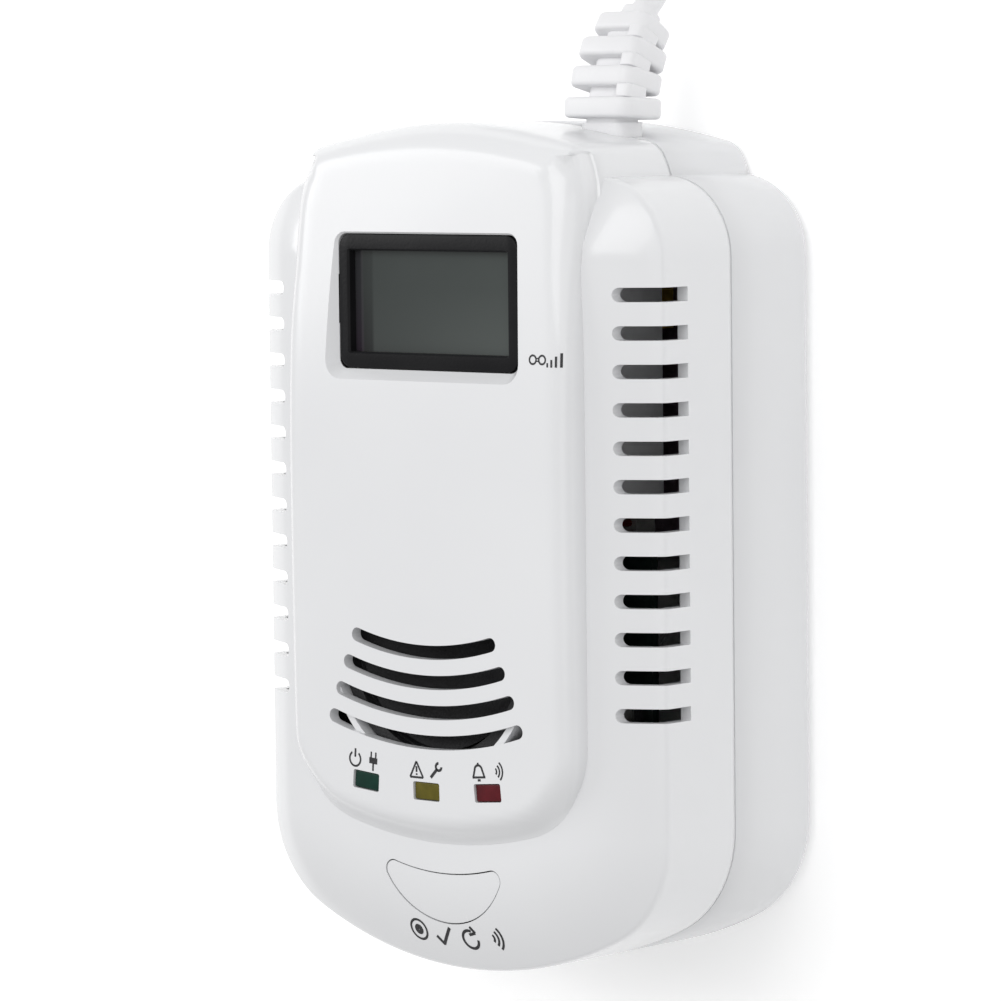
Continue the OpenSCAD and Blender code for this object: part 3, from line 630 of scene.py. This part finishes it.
# ---- front cover ---------------------------------------------------------------------
# One gloss white ABS moulding, 2.2 mm thick, with twelve vents over each soft crease, four curved
# sounder slots, three indicator windows and openings for the display, the test button and the lead.
SEAM_LINE = 0.34
crown_form = loose(crowned(SEAM + SEAM_LINE), "crown_form")
panel_form = loose(panelled(SEAM + SEAM_LINE), "panel_form")
front = object_from(bmesh.new(), "front_shell", white_abs)
front.data = crown_form.data.copy()
front.data.materials.append(white_abs)
carve(front, panel_form, "UNION", keep_tool=True)
hollow = carve(loose(crowned(SEAM - 1, WALL), "hollow"), loose(panelled(SEAM - 1, WALL), "panel_hollow"),
               "UNION")
carve(front, hollow, keep_tool=True)

VENT, VENT_PITCH, VENT_TOP, VENT_INNER, VENT_LOW = 2.4, 6.34, 44.0, 37.2, CREASE - 6.1
CUT_HIGH = 60
bm = bmesh.new()


def prism(bm, chain, low, high):
    """Closes a chain of new vertices into a face and raises it into a solid cutter."""
    edges = {e for v in chain for e in v.link_edges if all(w in chain for w in e.verts)}
    ends = [v for v in chain if len([e for e in v.link_edges if e in edges]) == 1]
    if len(ends) == 2:
        edges.add(bm.edges.new(ends))
    face = bmesh.ops.contextual_create(bm, geom=list(edges))["faces"][0]
    for v in face.verts:
        v.co.z = low
    for v in verts_in(bmesh.ops.extrude_face_region(bm, geom=[face])["geom"]):
        v.co.z = high


def new_chain(bm, work):
    """Runs some vertex work and returns the vertices that it made, in a list."""
    before = set(bm.verts)
    work()
    return [v for v in bm.verts if v not in before]


for k in range(12):
    y = VENT_TOP - k * VENT_PITCH
    for s in (-1, 1):
        def vent():
            tip = bm.verts.new((s * (VENT_INNER + VENT / 2), y + s * VENT / 2, 0))
            tip = spun(bm, tip, (s * (VENT_INNER + VENT / 2), y), pi, 12)
            for x, dy in ((48, -s), (48, s)):
                tip = bmesh.ops.extrude_vert_indiv(bm, verts=[tip])["verts"][0]
                tip.co = Vector((s * x, y + dy * VENT / 2, 0))
        prism(bm, new_chain(bm, vent), VENT_LOW, CUT_HIGH)



def closed_prism(bm, work, low, high):
    """Runs some vertex work that ends where it starts and raises what it made into a cutter."""
    chain = new_chain(bm, work)
    bmesh.ops.remove_doubles(bm, verts=chain, dist=0.01)
    prism(bm, [v for v in chain if v.is_valid], low, high)


ARC_Y, ARC_W, ARC_FIRST, ARC_PITCH, ARC_LOW = 37.3, 2.4, 54.2, 5.12, 43.4
for k, reach in enumerate((16.2, 16.8, 17.2, 17.4)):
    radius, half = ARC_FIRST + ARC_PITCH * k, radians(reach)

    def arc_slot():
        inner, end_x, end_y = radius - ARC_W / 2, radius * sin(half), ARC_Y - radius * cos(half)
        tip = bm.verts.new((-inner * sin(half), ARC_Y - inner * cos(half), 0))
        tip = spun(bm, tip, (0, ARC_Y), 2 * half, 40)
        tip = spun(bm, tip, (end_x, end_y), -pi, 12)
        tip = spun(bm, tip, (0, ARC_Y), -2 * half, 40)
        spun(bm, tip, (-end_x, end_y), -pi, 12)
    closed_prism(bm, arc_slot, ARC_LOW, CUT_HIGH)


def rounded_plate(bm, width, height, corner, place, steps=6):
    """A flat rounded rectangle as one face, set at a place."""
    made = bmesh.ops.create_grid(bm, x_segments=1, y_segments=1, size=0.5)["verts"]
    bmesh.ops.scale(bm, vec=(width, height, 1), verts=made)
    out = bmesh.ops.bevel(bm, geom=made, offset=corner, segments=steps, profile=0.5,
                          affect="VERTICES", material=-1)
    face = {f for v in out["verts"] for f in v.link_faces}.pop()
    bmesh.ops.transform(bm, matrix=place, verts=face.verts)
    return face


LED_X, LED_Y, LED_TILT = (-13.85, 0.0, 13.85), (-39.9, -40.7, -39.9), (-5, 0, 5)


def raised(bm, face, height):
    """Raises a face into a solid of a given height."""
    out = bmesh.ops.extrude_face_region(bm, geom=[face])
    bmesh.ops.translate(bm, vec=(0, 0, height), verts=verts_in(out["geom"]))


for x, y, tilt in zip(LED_X, LED_Y, LED_TILT):
    place = Matrix.Translation((x, y, 43.6)) @ Matrix.Rotation(radians(tilt), 4, "Z")
    raised(bm, rounded_plate(bm, 5.95, 3.15, 0.35, place, 3), 20)

LCD_Y, LCD_W, LCD_H, LCD_FACE, LCD_LOW, LCD_CORNER, LCD_FLARE = 42.25, 40.6, 23.1, 48.0, 38, 1.7, 3.2
mouth = rounded_plate(bm, LCD_W, LCD_H, LCD_CORNER, Matrix.Translation((0, LCD_Y, LCD_LOW)))
mouth = raise_face(bm, mouth, LCD_FACE, base=True)
mouth = raise_face(bm, mouth, LCD_FACE + 4)
inner_x, inner_y = LCD_W / 2 - LCD_CORNER, LCD_H / 2 - LCD_CORNER
for v in mouth.verts:
    core = Vector((max(-inner_x, min(inner_x, v.co.x)),
                   LCD_Y + max(-inner_y, min(inner_y, v.co.y - LCD_Y)), v.co.z))
    v.co = core + (v.co - core) * (LCD_CORNER + LCD_FLARE) / LCD_CORNER

BUTTON_LOW, BUTTON_TOP, BUTTON_TIP, BUTTON_GAP = (14.3, -49.6), (44.0, -11.3), 1.6, 0.22


def crescent(bm, gap, low, high):
    """The button's outline: a deep arc below, a shallow one above and rounded tips, made a solid."""
    (r, cy), (top_r, ty), tip_r = BUTTON_LOW, BUTTON_TOP, BUTTON_TIP
    apart = ty - cy
    down = ((top_r + tip_r) ** 2 - (r - tip_r) ** 2 + apart ** 2) / (2 * apart)
    px, py = sqrt((top_r + tip_r) ** 2 - down ** 2), ty - down
    low_half, top_half = atan2(px, cy - py), atan2(px, down)
    r, top_r, tip_r = r + gap, top_r - gap, tip_r + gap

    def work():
        tip = bm.verts.new((-r * sin(low_half), cy - r * cos(low_half), 0))
        tip = spun(bm, tip, (0, cy), 2 * low_half, 48)
        tip = spun(bm, tip, (px, py), pi - low_half + top_half, 12)
        tip = spun(bm, tip, (0, ty), -2 * top_half, 30)
        spun(bm, tip, (-px, py), pi - low_half + top_half, 12)
    closed_prism(bm, work, low, high)


def cut_out(piece, bm, name):
    bmesh.ops.recalc_face_normals(bm, faces=bm.faces)
    carve(piece, loose(bm, name))


crescent(bm, BUTTON_GAP, 38, CUT_HIGH)
cut_out(front, bm, "openings")
bm = bmesh.new()
notch = rounded_plate(bm, 3, 8.4, 0.4, Matrix.Translation((-LCD_W / 2 + 0.9, 42.6, LCD_LOW)), 3)
raised(bm, notch, LCD_FACE - 37.95)
cut_out(front, bm, "tab_notch")
bm = bmesh.new()
rounded_bar(bm, 9.5, 6.6, 20, 1.5, 0, towards_head(relief_x, 59, relief_z))
cut_out(front, bm, "gate")
skin(front, [crown_form, panel_form])
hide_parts("front_cover")
bpy.data.objects.remove(hollow)

# ---- ribs inside the front cover -----------------------------------------------------
# Baffles beside the vents, the ring round the sounder and the screw posts, moulded with the cover.
BAFFLE_X, BAFFLE_Y, BAFFLE_THICK, BAFFLE_LONG, BAFFLE_TALL = 29.5, 34, 1.6, 50, 24.7
RING_Y, RING_LOW, RING_HIGH, RING_IN, RING_OUT = -15.5, 43, 49.0, 22.0, 23.2
bm = bmesh.new()
for s in (-1, 1):
    made = bmesh.ops.create_cube(bm, size=1)["verts"]
    bmesh.ops.scale(bm, vec=(BAFFLE_THICK, BAFFLE_LONG, BAFFLE_TALL), verts=made)
    bmesh.ops.translate(bm, vec=(s * BAFFLE_X, BAFFLE_Y, SEAM + 0.5 + BAFFLE_TALL / 2), verts=made)
    lines = list({e for v in made for e in v.link_edges if abs(e.verts[0].co.y - e.verts[1].co.y) > 1})
    bmesh.ops.subdivide_edges(bm, edges=lines, cuts=12, use_grid_fill=True)
    for v in bm.verts:
        if v.co.z > 40:
            v.co.z = panel_height(v.co.x, v.co.y) - 1.7
ring = bmesh.ops.create_circle(bm, segments=96, radius=RING_IN)["verts"]
out = bmesh.ops.extrude_edge_only(bm, edges=list({e for v in ring for e in v.link_edges}))
outer = verts_in(out["geom"])
bmesh.ops.scale(bm, vec=(RING_OUT / RING_IN, RING_OUT / RING_IN, 1), verts=outer)
wall = list({f for v in outer for f in v.link_faces})
bmesh.ops.translate(bm, vec=(0, RING_Y, RING_LOW), verts=ring + outer)
for v in verts_in(bmesh.ops.extrude_face_region(bm, geom=wall)["geom"]):
    v.co.z = RING_HIGH
for x, y, r, low, high in ((24.2, 20.5, 2.6, 34, 49), (28, -54.5, 2.6, 34, 43.6),
                           (35.5, 50, 3.4, 14, 42.6), (35, -48, 3.4, 14, 42.6)):
    for s in (1, -1):
        bmesh.ops.create_cone(bm, cap_ends=True, segments=32, radius1=r, radius2=r, depth=high - low,
                              matrix=Matrix.Translation((s * x, y, (low + high) / 2)))
bmesh.ops.recalc_face_normals(bm, faces=bm.faces)
ribs = object_from(bm, "front_ribs", white_abs)

# ---- test button ---------------------------------------------------------------------
# A crescent of the same white ABS, level with the chin round it. Its stem rests on the tactile
# switch, and it slides straight in by half a millimetre.
bm = bmesh.new()
crescent(bm, 0, 41.6, CUT_HIGH)
bmesh.ops.recalc_face_normals(bm, faces=bm.faces)
button = loose(bm, "test_button_cap")
button.data.materials.append(white_abs)
button_crown = crown_form.copy()
button_crown.data = crown_form.data.copy()
scene.collection.objects.link(button_crown)
BUTTON_SINK = 0.00012
button_crown.data.transform(Matrix.Translation((0, 0, -BUTTON_SINK)))
carve(button, button_crown, "INTERSECT", keep_tool=True)
skin(button, [button_crown])
for form in (button_crown, crown_form, panel_form):
    bpy.data.objects.remove(form)
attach(button, "button")
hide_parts("test_button")
bm = bmesh.new()
bmesh.ops.create_cone(bm, cap_ends=True, segments=32, radius1=1.5, radius2=1.5, depth=3.2,
                      matrix=Matrix.Translation((0, -59.5, 40.3)))
stem = object_from(bm, "button_stem", white_abs, body="button")

# ---- display -------------------------------------------------------------------------
# A black moulded frame round a liquid crystal glass, which is switched off: a grey-green field with a dark
# margin and a violet edge of the polariser at its left. Light is painted into the glass: it is lighter
# towards its lower edge and darker from the middle up.
black_frame = moulded("black_frame", (0.012, 0.012, 0.013), (0.007, 0.007, 0.008), 0.35, grain=2400,
                      depth=0.05, Specular_IOR_Level=0.12)
bm = bmesh.new()
face = rounded_plate(bm, LCD_W - 0.3, LCD_H - 0.3, 2.4, Matrix.Translation((0, LCD_Y, LCD_FACE)), 8)
bmesh.ops.inset_region(bm, faces=[face], thickness=0.35, use_boundary=True, use_even_offset=True)
for v in face.verts:
    v.co.z += 0.15
bmesh.ops.inset_region(bm, faces=[face], thickness=1.55, use_boundary=True, use_even_offset=True)
bmesh.ops.scale(bm, vec=(1, 8.9 / 9.45, 1), verts=face.verts, space=Matrix.Translation((0, -LCD_Y, 0)))
bmesh.ops.inset_region(bm, faces=[face], thickness=0.3, use_boundary=True, use_even_offset=True)
for v in face.verts:
    v.co.z -= 0.35
low = raise_face(bm, face, LCD_FACE - 1.75)
edge = [e for e in bm.edges if e.is_boundary]
bmesh.ops.delete(bm, geom=[low], context="FACES")
for v in verts_in(bmesh.ops.extrude_edge_only(bm, edges=edge)["geom"]):
    v.co.z = LCD_FACE - 3.6
bmesh.ops.recalc_face_normals(bm, faces=bm.faces)
rounded_bar(bm, 2.5, 8.2, 3.4, 0.3, 0.1, Matrix.Translation((-LCD_W / 2 + 0.8, 42.6, LCD_FACE - 3.43)))
bezel = object_from(bm, "display_frame", black_frame)
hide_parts("lcd_bezel")

material, shader, start, place = new_finish("display_glass", IOR=1.5, Specular_IOR_Level=0.3)
along = start.node("ShaderNodeSeparateXYZ", {"Vector": place}, out=0)
down = start.node("ShaderNodeSeparateXYZ", {"Vector": place}, out=1)
field = start.node("ShaderNodeValToRGB", {"Fac": along * 26.0 + 0.5}, stops=[
    (0.02, (0.006, 0.006, 0.007, 1)), (0.045, (0.030, 0.022, 0.032, 1)), (0.075, (0.028, 0.021, 0.030, 1)),
    (0.085, (0.010, 0.011, 0.011, 1)), (0.13, (0.016, 0.018, 0.018, 1)), (0.145, (0.046, 0.052, 0.050, 1)),
    (0.9, (0.078, 0.088, 0.084, 1))])
haze = start.node("ShaderNodeTexNoise", {"Vector": place, "Scale": 90.0, "Detail": 3.0})
# Painted light: the glass colour is lighter towards its lower edge and mixed darker from the middle up. This
# stands for light falling on the glass, not for a tone of the glass itself.
painted_shade_upwards = ((down - 0.0325) * 45.0).math("MINIMUM", 0.55).math("MAXIMUM", 0.0)
glass_tone_and_painted_light = start.node("ShaderNodeMix", {"Factor": painted_shade_upwards, 6: field, 7: (0.035, 0.042, 0.040, 1)}, out=2,
                        data_type="RGBA")
feed(shader, start, Base_Color=glass_tone_and_painted_light, Roughness=haze * 0.12 + 0.06)
dress("lcd_glass", material)

# ---- indicator windows ---------------------------------------------------------------
# Three rectangular lamps of tinted epoxy, unlit, standing on the main board and showing level with
# the panel: green for power, yellow for a fault and red for an alarm.
for colour, x, y, tilt, tint in zip(("green", "yellow", "red"), LED_X, LED_Y, LED_TILT, (
        (0.004, 0.036, 0.024), (0.125, 0.105, 0.012), (0.105, 0.008, 0.013))):
    lens = colour + "_lens"
    material, shader, start, place = new_finish(lens, IOR=1.4, Specular_IOR_Level=0.3)
    cloud = start.node("ShaderNodeTexNoise", {"Vector": place, "Scale": 420.0, "Detail": 2.0})
    tone = start.node("ShaderNodeValToRGB", {"Fac": cloud}, stops=[
        (0.3, (*[c * 0.7 for c in tint], 1)), (0.7, (*tint, 1))])
    feed(shader, start, Base_Color=tone, Roughness=cloud * 0.15 + 0.1)
    bm = bmesh.new()
    seat = Matrix.Translation((x, y, 43)) @ Matrix.Rotation(radians(tilt), 4, "Z")
    rounded_bar(bm, 5.7, 2.9, panel_top(y) - 0.35 - 43, 0.3, 0.18, seat)
    window = object_from(bm, colour + "_window", material)
    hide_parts("led_" + colour)

# ---- printed signs -------------------------------------------------------------------
# Dark pad-printed pictograms on the white front: power, fault and alarm over the lamps, a gas
# mark by the display, and a tick with a return arrow under the button.
print_ink = moulded("print_ink", (0.022, 0.022, 0.026), (0.012, 0.012, 0.014), 0.5, grain=3000, depth=0.1)


def stroke(bm, x0, y0, x1, y1, width):
    """A straight printed bar from one point to another."""
    made = bmesh.ops.create_grid(bm, x_segments=6, y_segments=2, size=0.5)["verts"]
    length, angle = hypot(x1 - x0, y1 - y0), atan2(y1 - y0, x1 - x0)
    place = Matrix.Translation(((x0 + x1) / 2, (y0 + y1) / 2, 0)) @ Matrix.Rotation(angle, 4, "Z")
    bmesh.ops.transform(bm, matrix=place @ Matrix.Diagonal((length, width, 1, 1)), verts=made)


def hoop(bm, x, y, radius, width, start_at, sweep):
    """A printed arc: a short edge spun about its centre."""
    turn_to = Matrix.Translation((x, y, 0)) @ Matrix.Rotation(radians(start_at), 4, "Z")
    ends = [bm.verts.new(turn_to @ Vector((radius + s * width / 2, 0, 0))) for s in (-1, 1)]
    edge = bm.edges.new(ends)
    bmesh.ops.spin(bm, geom=ends + [edge], cent=(x, y, 0), axis=(0, 0, 1), angle=radians(sweep),
                   steps=max(6, int(abs(sweep) / 10)))


def power_mark(bm, x, y, h):
    hoop(bm, x, y - 0.05 * h, 0.38 * h, 0.11 * h, 125, 290)
    stroke(bm, x, y + 0.05 * h, x, y + 0.5 * h, 0.12 * h)


def plug_mark(bm, x, y, h):
    for s in (-0.16, 0.16):
        stroke(bm, x + s * h, y + 0.2 * h, x + s * h, y + 0.5 * h, 0.1 * h)
    stroke(bm, x, y + 0.2 * h, x, y - 0.12 * h, 0.56 * h)
    stroke(bm, x, y - 0.1 * h, x, y - 0.5 * h, 0.11 * h)


def fault_mark(bm, x, y, h):
    corners = [(x + 0.52 * h * cos(radians(a)), y - 0.12 * h + 0.55 * h * sin(radians(a)))
               for a in (90, 210, 330, 450)]
    for p, q in zip(corners, corners[1:]):
        stroke(bm, *p, *q, 0.11 * h)
    stroke(bm, x, y + 0.18 * h, x, y - 0.12 * h, 0.12 * h)
    stroke(bm, x, y - 0.19 * h, x, y - 0.28 * h, 0.12 * h)


def spanner_mark(bm, x, y, h):
    stroke(bm, x - 0.3 * h, y - 0.34 * h, x + 0.16 * h, y + 0.14 * h, 0.17 * h)
    hoop(bm, x + 0.26 * h, y + 0.25 * h, 0.19 * h, 0.14 * h, 90, 270)


def bell_mark(bm, x, y, h):
    hoop(bm, x, y + 0.08 * h, 0.25 * h, 0.12 * h, 0, 180)
    for s in (-1, 1):
        stroke(bm, x + s * 0.25 * h, y + 0.1 * h, x + s * 0.38 * h, y - 0.28 * h, 0.12 * h)
    stroke(bm, x - 0.44 * h, y - 0.29 * h, x + 0.44 * h, y - 0.29 * h, 0.11 * h)
    stroke(bm, x - 0.1 * h, y - 0.44 * h, x + 0.1 * h, y - 0.44 * h, 0.12 * h)
    stroke(bm, x, y + 0.34 * h, x, y + 0.46 * h, 0.11 * h)


def wave_mark(bm, x, y, h):
    for k in range(3):
        hoop(bm, x - 0.3 * h, y, (0.2 + 0.2 * k) * h, 0.1 * h, -48, 96)


def molecule_mark(bm, x, y, h):
    hoop(bm, x - 0.42 * h, y, 0.3 * h, 0.14 * h, 0, 360)
    hoop(bm, x + 0.42 * h, y, 0.3 * h, 0.14 * h, 0, 360)
    for s in (-0.1, 0.1):
        stroke(bm, x - 0.12 * h, y + s * h, x + 0.12 * h, y + s * h, 0.09 * h)


def level_mark(bm, x, y, h):
    for k in range(4):
        bar_x = x + (k - 1.5) * 0.34 * h
        stroke(bm, bar_x, y - 0.5 * h, bar_x, y + (-0.2 + 0.23 * k) * h, 0.15 * h)


def tick_mark(bm, x, y, h):
    stroke(bm, x - 0.42 * h, y - 0.02 * h, x - 0.12 * h, y - 0.36 * h, 0.14 * h)
    stroke(bm, x - 0.16 * h, y - 0.36 * h, x + 0.42 * h, y + 0.4 * h, 0.14 * h)


def again_mark(bm, x, y, h):
    hoop(bm, x, y, 0.38 * h, 0.12 * h, 70, 290)
    stroke(bm, x + 0.12 * h, y + 0.55 * h, x + 0.34 * h, y + 0.3 * h, 0.12 * h)
    stroke(bm, x, y + 0.2 * h, x + 0.34 * h, y + 0.3 * h, 0.12 * h)


def press_mark(bm, x, y, h):
    hoop(bm, x, y, 0.42 * h, 0.1 * h, 0, 360)
    hoop(bm, x, y, 0.12 * h, 0.2 * h, 0, 360)


for group, tilt, centre, marks in (
        ("power_sign", -5, (LED_X[0] - 0.3, -36.3), ((power_mark, -2.1, 0, 3.3), (plug_mark, 2.1, 0, 3.3))),
        ("fault_sign", 0, (LED_X[1], -37.1), ((fault_mark, -2.1, 0, 3.3), (spanner_mark, 2.1, 0, 3.3))),
        ("alarm_sign", 5, (LED_X[2] + 0.2, -36.2), ((bell_mark, -2.1, 0, 3.3), (wave_mark, 2.3, 0, 3.3))),
        ("gas_sign", 0, (27.6, 33.3), ((molecule_mark, -1.5, 0, 2.4), (level_mark, 1.9, 0, 2.4))),
        ("test_sign", 0, (0.6, -66.6), ((press_mark, -8.4, 0.75, 4.3), (tick_mark, -2.7, 0.05, 4.3),
                                        (again_mark, 3.3, 0.05, 4.3), (wave_mark, 9.2, 0.75, 4.3)))):
    bm = bmesh.new()
    for mark, x, y, h in marks:
        mark(bm, x, y, h)
    bmesh.ops.rotate(bm, matrix=Matrix.Rotation(radians(tilt), 3, "Z"), verts=bm.verts)
    for v in bm.verts:
        v.co.x, v.co.y = v.co.x + centre[0], v.co.y + centre[1]
        ground = crown_height(inside(strip_shape, v.co.x, v.co.y)[0])
        if v.co.y > -50:
            ground = max(ground, panel_height(v.co.x, v.co.y))
        v.co.z = ground + 0.03
    bmesh.ops.recalc_face_normals(bm, faces=bm.faces)
    for f in bm.faces:
        if f.normal.z < 0:
            f.normal_flip()
    sign = object_from(bm, group, print_ink)

# ---- parts inside --------------------------------------------------------------------
# Everything behind the front keeps its frame shape and takes the finish of the real part, except the main
# board, whose near-black colour is painted shade.
# Each line is a material's two tones, roughness, grain and depth, and the pieces that are made of it.
for name, colour, dark, rough, grain, depth, pieces in (
        ("plated_steel", (0.62, 0.62, 0.60), (0.52, 0.52, 0.51), 0.3, 3000, 0.08,
         "housing_screws main_board_screws power_board_screws led_leads fuse_clips sensor_can"),
        ("dark_steel", (0.30, 0.30, 0.31), (0.22, 0.22, 0.23), 0.4, 2200, 0.1,
         "sounder_magnet transformer_core sensor_mesh"),
        ("nickel_brass", (0.72, 0.66, 0.50), (0.62, 0.56, 0.42), 0.25, 2600, 0.06, "plug_pins"),
        ("black_nylon", (0.016, 0.016, 0.018), (0.009, 0.009, 0.010), 0.45, 2600, 0.15,
         "control_chips switch_body switch_plunger sensor_base sounder_frame transformer_base "
         "rectifier_diodes"),
        ("pale_nylon", (0.70, 0.70, 0.68), (0.62, 0.62, 0.60), 0.45, 2600, 0.1,
         "lcd_holder power_header display_header"),
        ("phenolic_board", (0.17, 0.12, 0.15), (0.12, 0.085, 0.11), 0.5, 1800, 0.12, "power_board"),
        # Painted shade: the main board is coloured near black so that it stands for the shade inside the
        # housing seen through the lower vents.
        ("board_with_painted_shade", (0.006, 0.012, 0.010), (0.004, 0.008, 0.007), 0.3, 1500, 0.06, "main_board"),
        ("paper_cone", (0.030, 0.030, 0.032), (0.016, 0.016, 0.018), 0.75, 1200, 0.3, "sounder_cone"),
        ("yellow_polyester", (0.68, 0.47, 0.07), (0.58, 0.38, 0.05), 0.35, 1400, 0.1,
         "transformer_winding film_capacitor"),
        ("blue_sleeve", (0.015, 0.03, 0.10), (0.01, 0.02, 0.07), 0.25, 900, 0.08, "smoothing_capacitors"),
        ("blue_epoxy", (0.02, 0.09, 0.36), (0.015, 0.06, 0.26), 0.3, 700, 0.15, "varistor"),
        ("fuse_tube_glass", (0.55, 0.62, 0.62), (0.48, 0.55, 0.55), 0.06, 900, 0.02, "fuse_tube"),
        ("green_nylon", (0.02, 0.11, 0.06), (0.015, 0.08, 0.045), 0.4, 2200, 0.12, "terminal_block"),
        ("red_sleeve", (0.30, 0.03, 0.025), (0.22, 0.02, 0.02), 0.4, 1600, 0.1,
         "board_harness sounder_wires"),
        ("brown_sleeve", (0.12, 0.05, 0.03), (0.08, 0.035, 0.02), 0.4, 1600, 0.1, "mains_wires")):
    metal = {"Metallic": 1.0} if name in ("plated_steel", "dark_steel", "nickel_brass") else {}
    dress(pieces, moulded(name, colour, dark, rough, grain=grain, depth=depth, **metal))
dress("sounder_gasket zebra_strips", band_rubber)

# ---- room and light ------------------------------------------------------------------
# A plain white table, a large soft light over the alarm's left, one over its cord end and a small
# one by the camera.
bm = bmesh.new()
bmesh.ops.create_grid(bm, x_segments=1, y_segments=1, size=2.5)
floor = object_from(bm, "floor", None, body=None, smooth=0, scale=1)
FLOOR_DROP = 0.0003
floor.data.transform(Matrix.Translation((0, 0, -FLOOR_DROP)))
material, shader, start, place = new_finish("table_white", Roughness=0.9, Emission_Strength=0.22,
                                            Emission_Color=(1, 1, 1, 1))
paper = start.node("ShaderNodeTexNoise", {"Vector": place, "Scale": 3.0})
feed(shader, start, Base_Color=start.node("ShaderNodeValToRGB", {"Fac": paper},
     stops=[(0.0, (0.93, 0.93, 0.93, 1)), (1.0, (0.96, 0.96, 0.96, 1))]))
floor.data.materials.append(material)
floor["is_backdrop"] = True


def panel_light(name, at, aim, size, watts):
    """A square soft light at a place, turned to face another."""
    data = bpy.data.lights.new(name, "AREA")
    data.shape, data.size, data.size_y, data.energy = "RECTANGLE", size, size, watts
    lamp = bpy.data.objects.new(name, data)
    facing = (Vector(at) - Vector(aim)).to_track_quat("Z", "Y")
    lamp.matrix_world = Matrix.Translation(at) @ facing.to_matrix().to_4x4()
    scene.collection.objects.link(lamp)


panel_light("over_left", (-1.28, 0.5, 0.95), (0, 0, 0), 0.8, 6.2)
panel_light("over_head", (0.1, 0.6, 1.25), (0, 0, 0), 0.9, 6.0)
panel_light("by_camera", eye * 1.08 + 0.06 * over, (0, 0, 0.03), 0.6, 0.9)
room = bpy.data.worlds.new("room")
room.use_nodes = True
sky = room.node_tree.nodes["Background"].inputs
sky["Color"].default_value, sky["Strength"].default_value = (1, 1, 1, 1), 0.59
scene.world = room
scene.view_settings.view_transform = "Standard"

low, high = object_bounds()
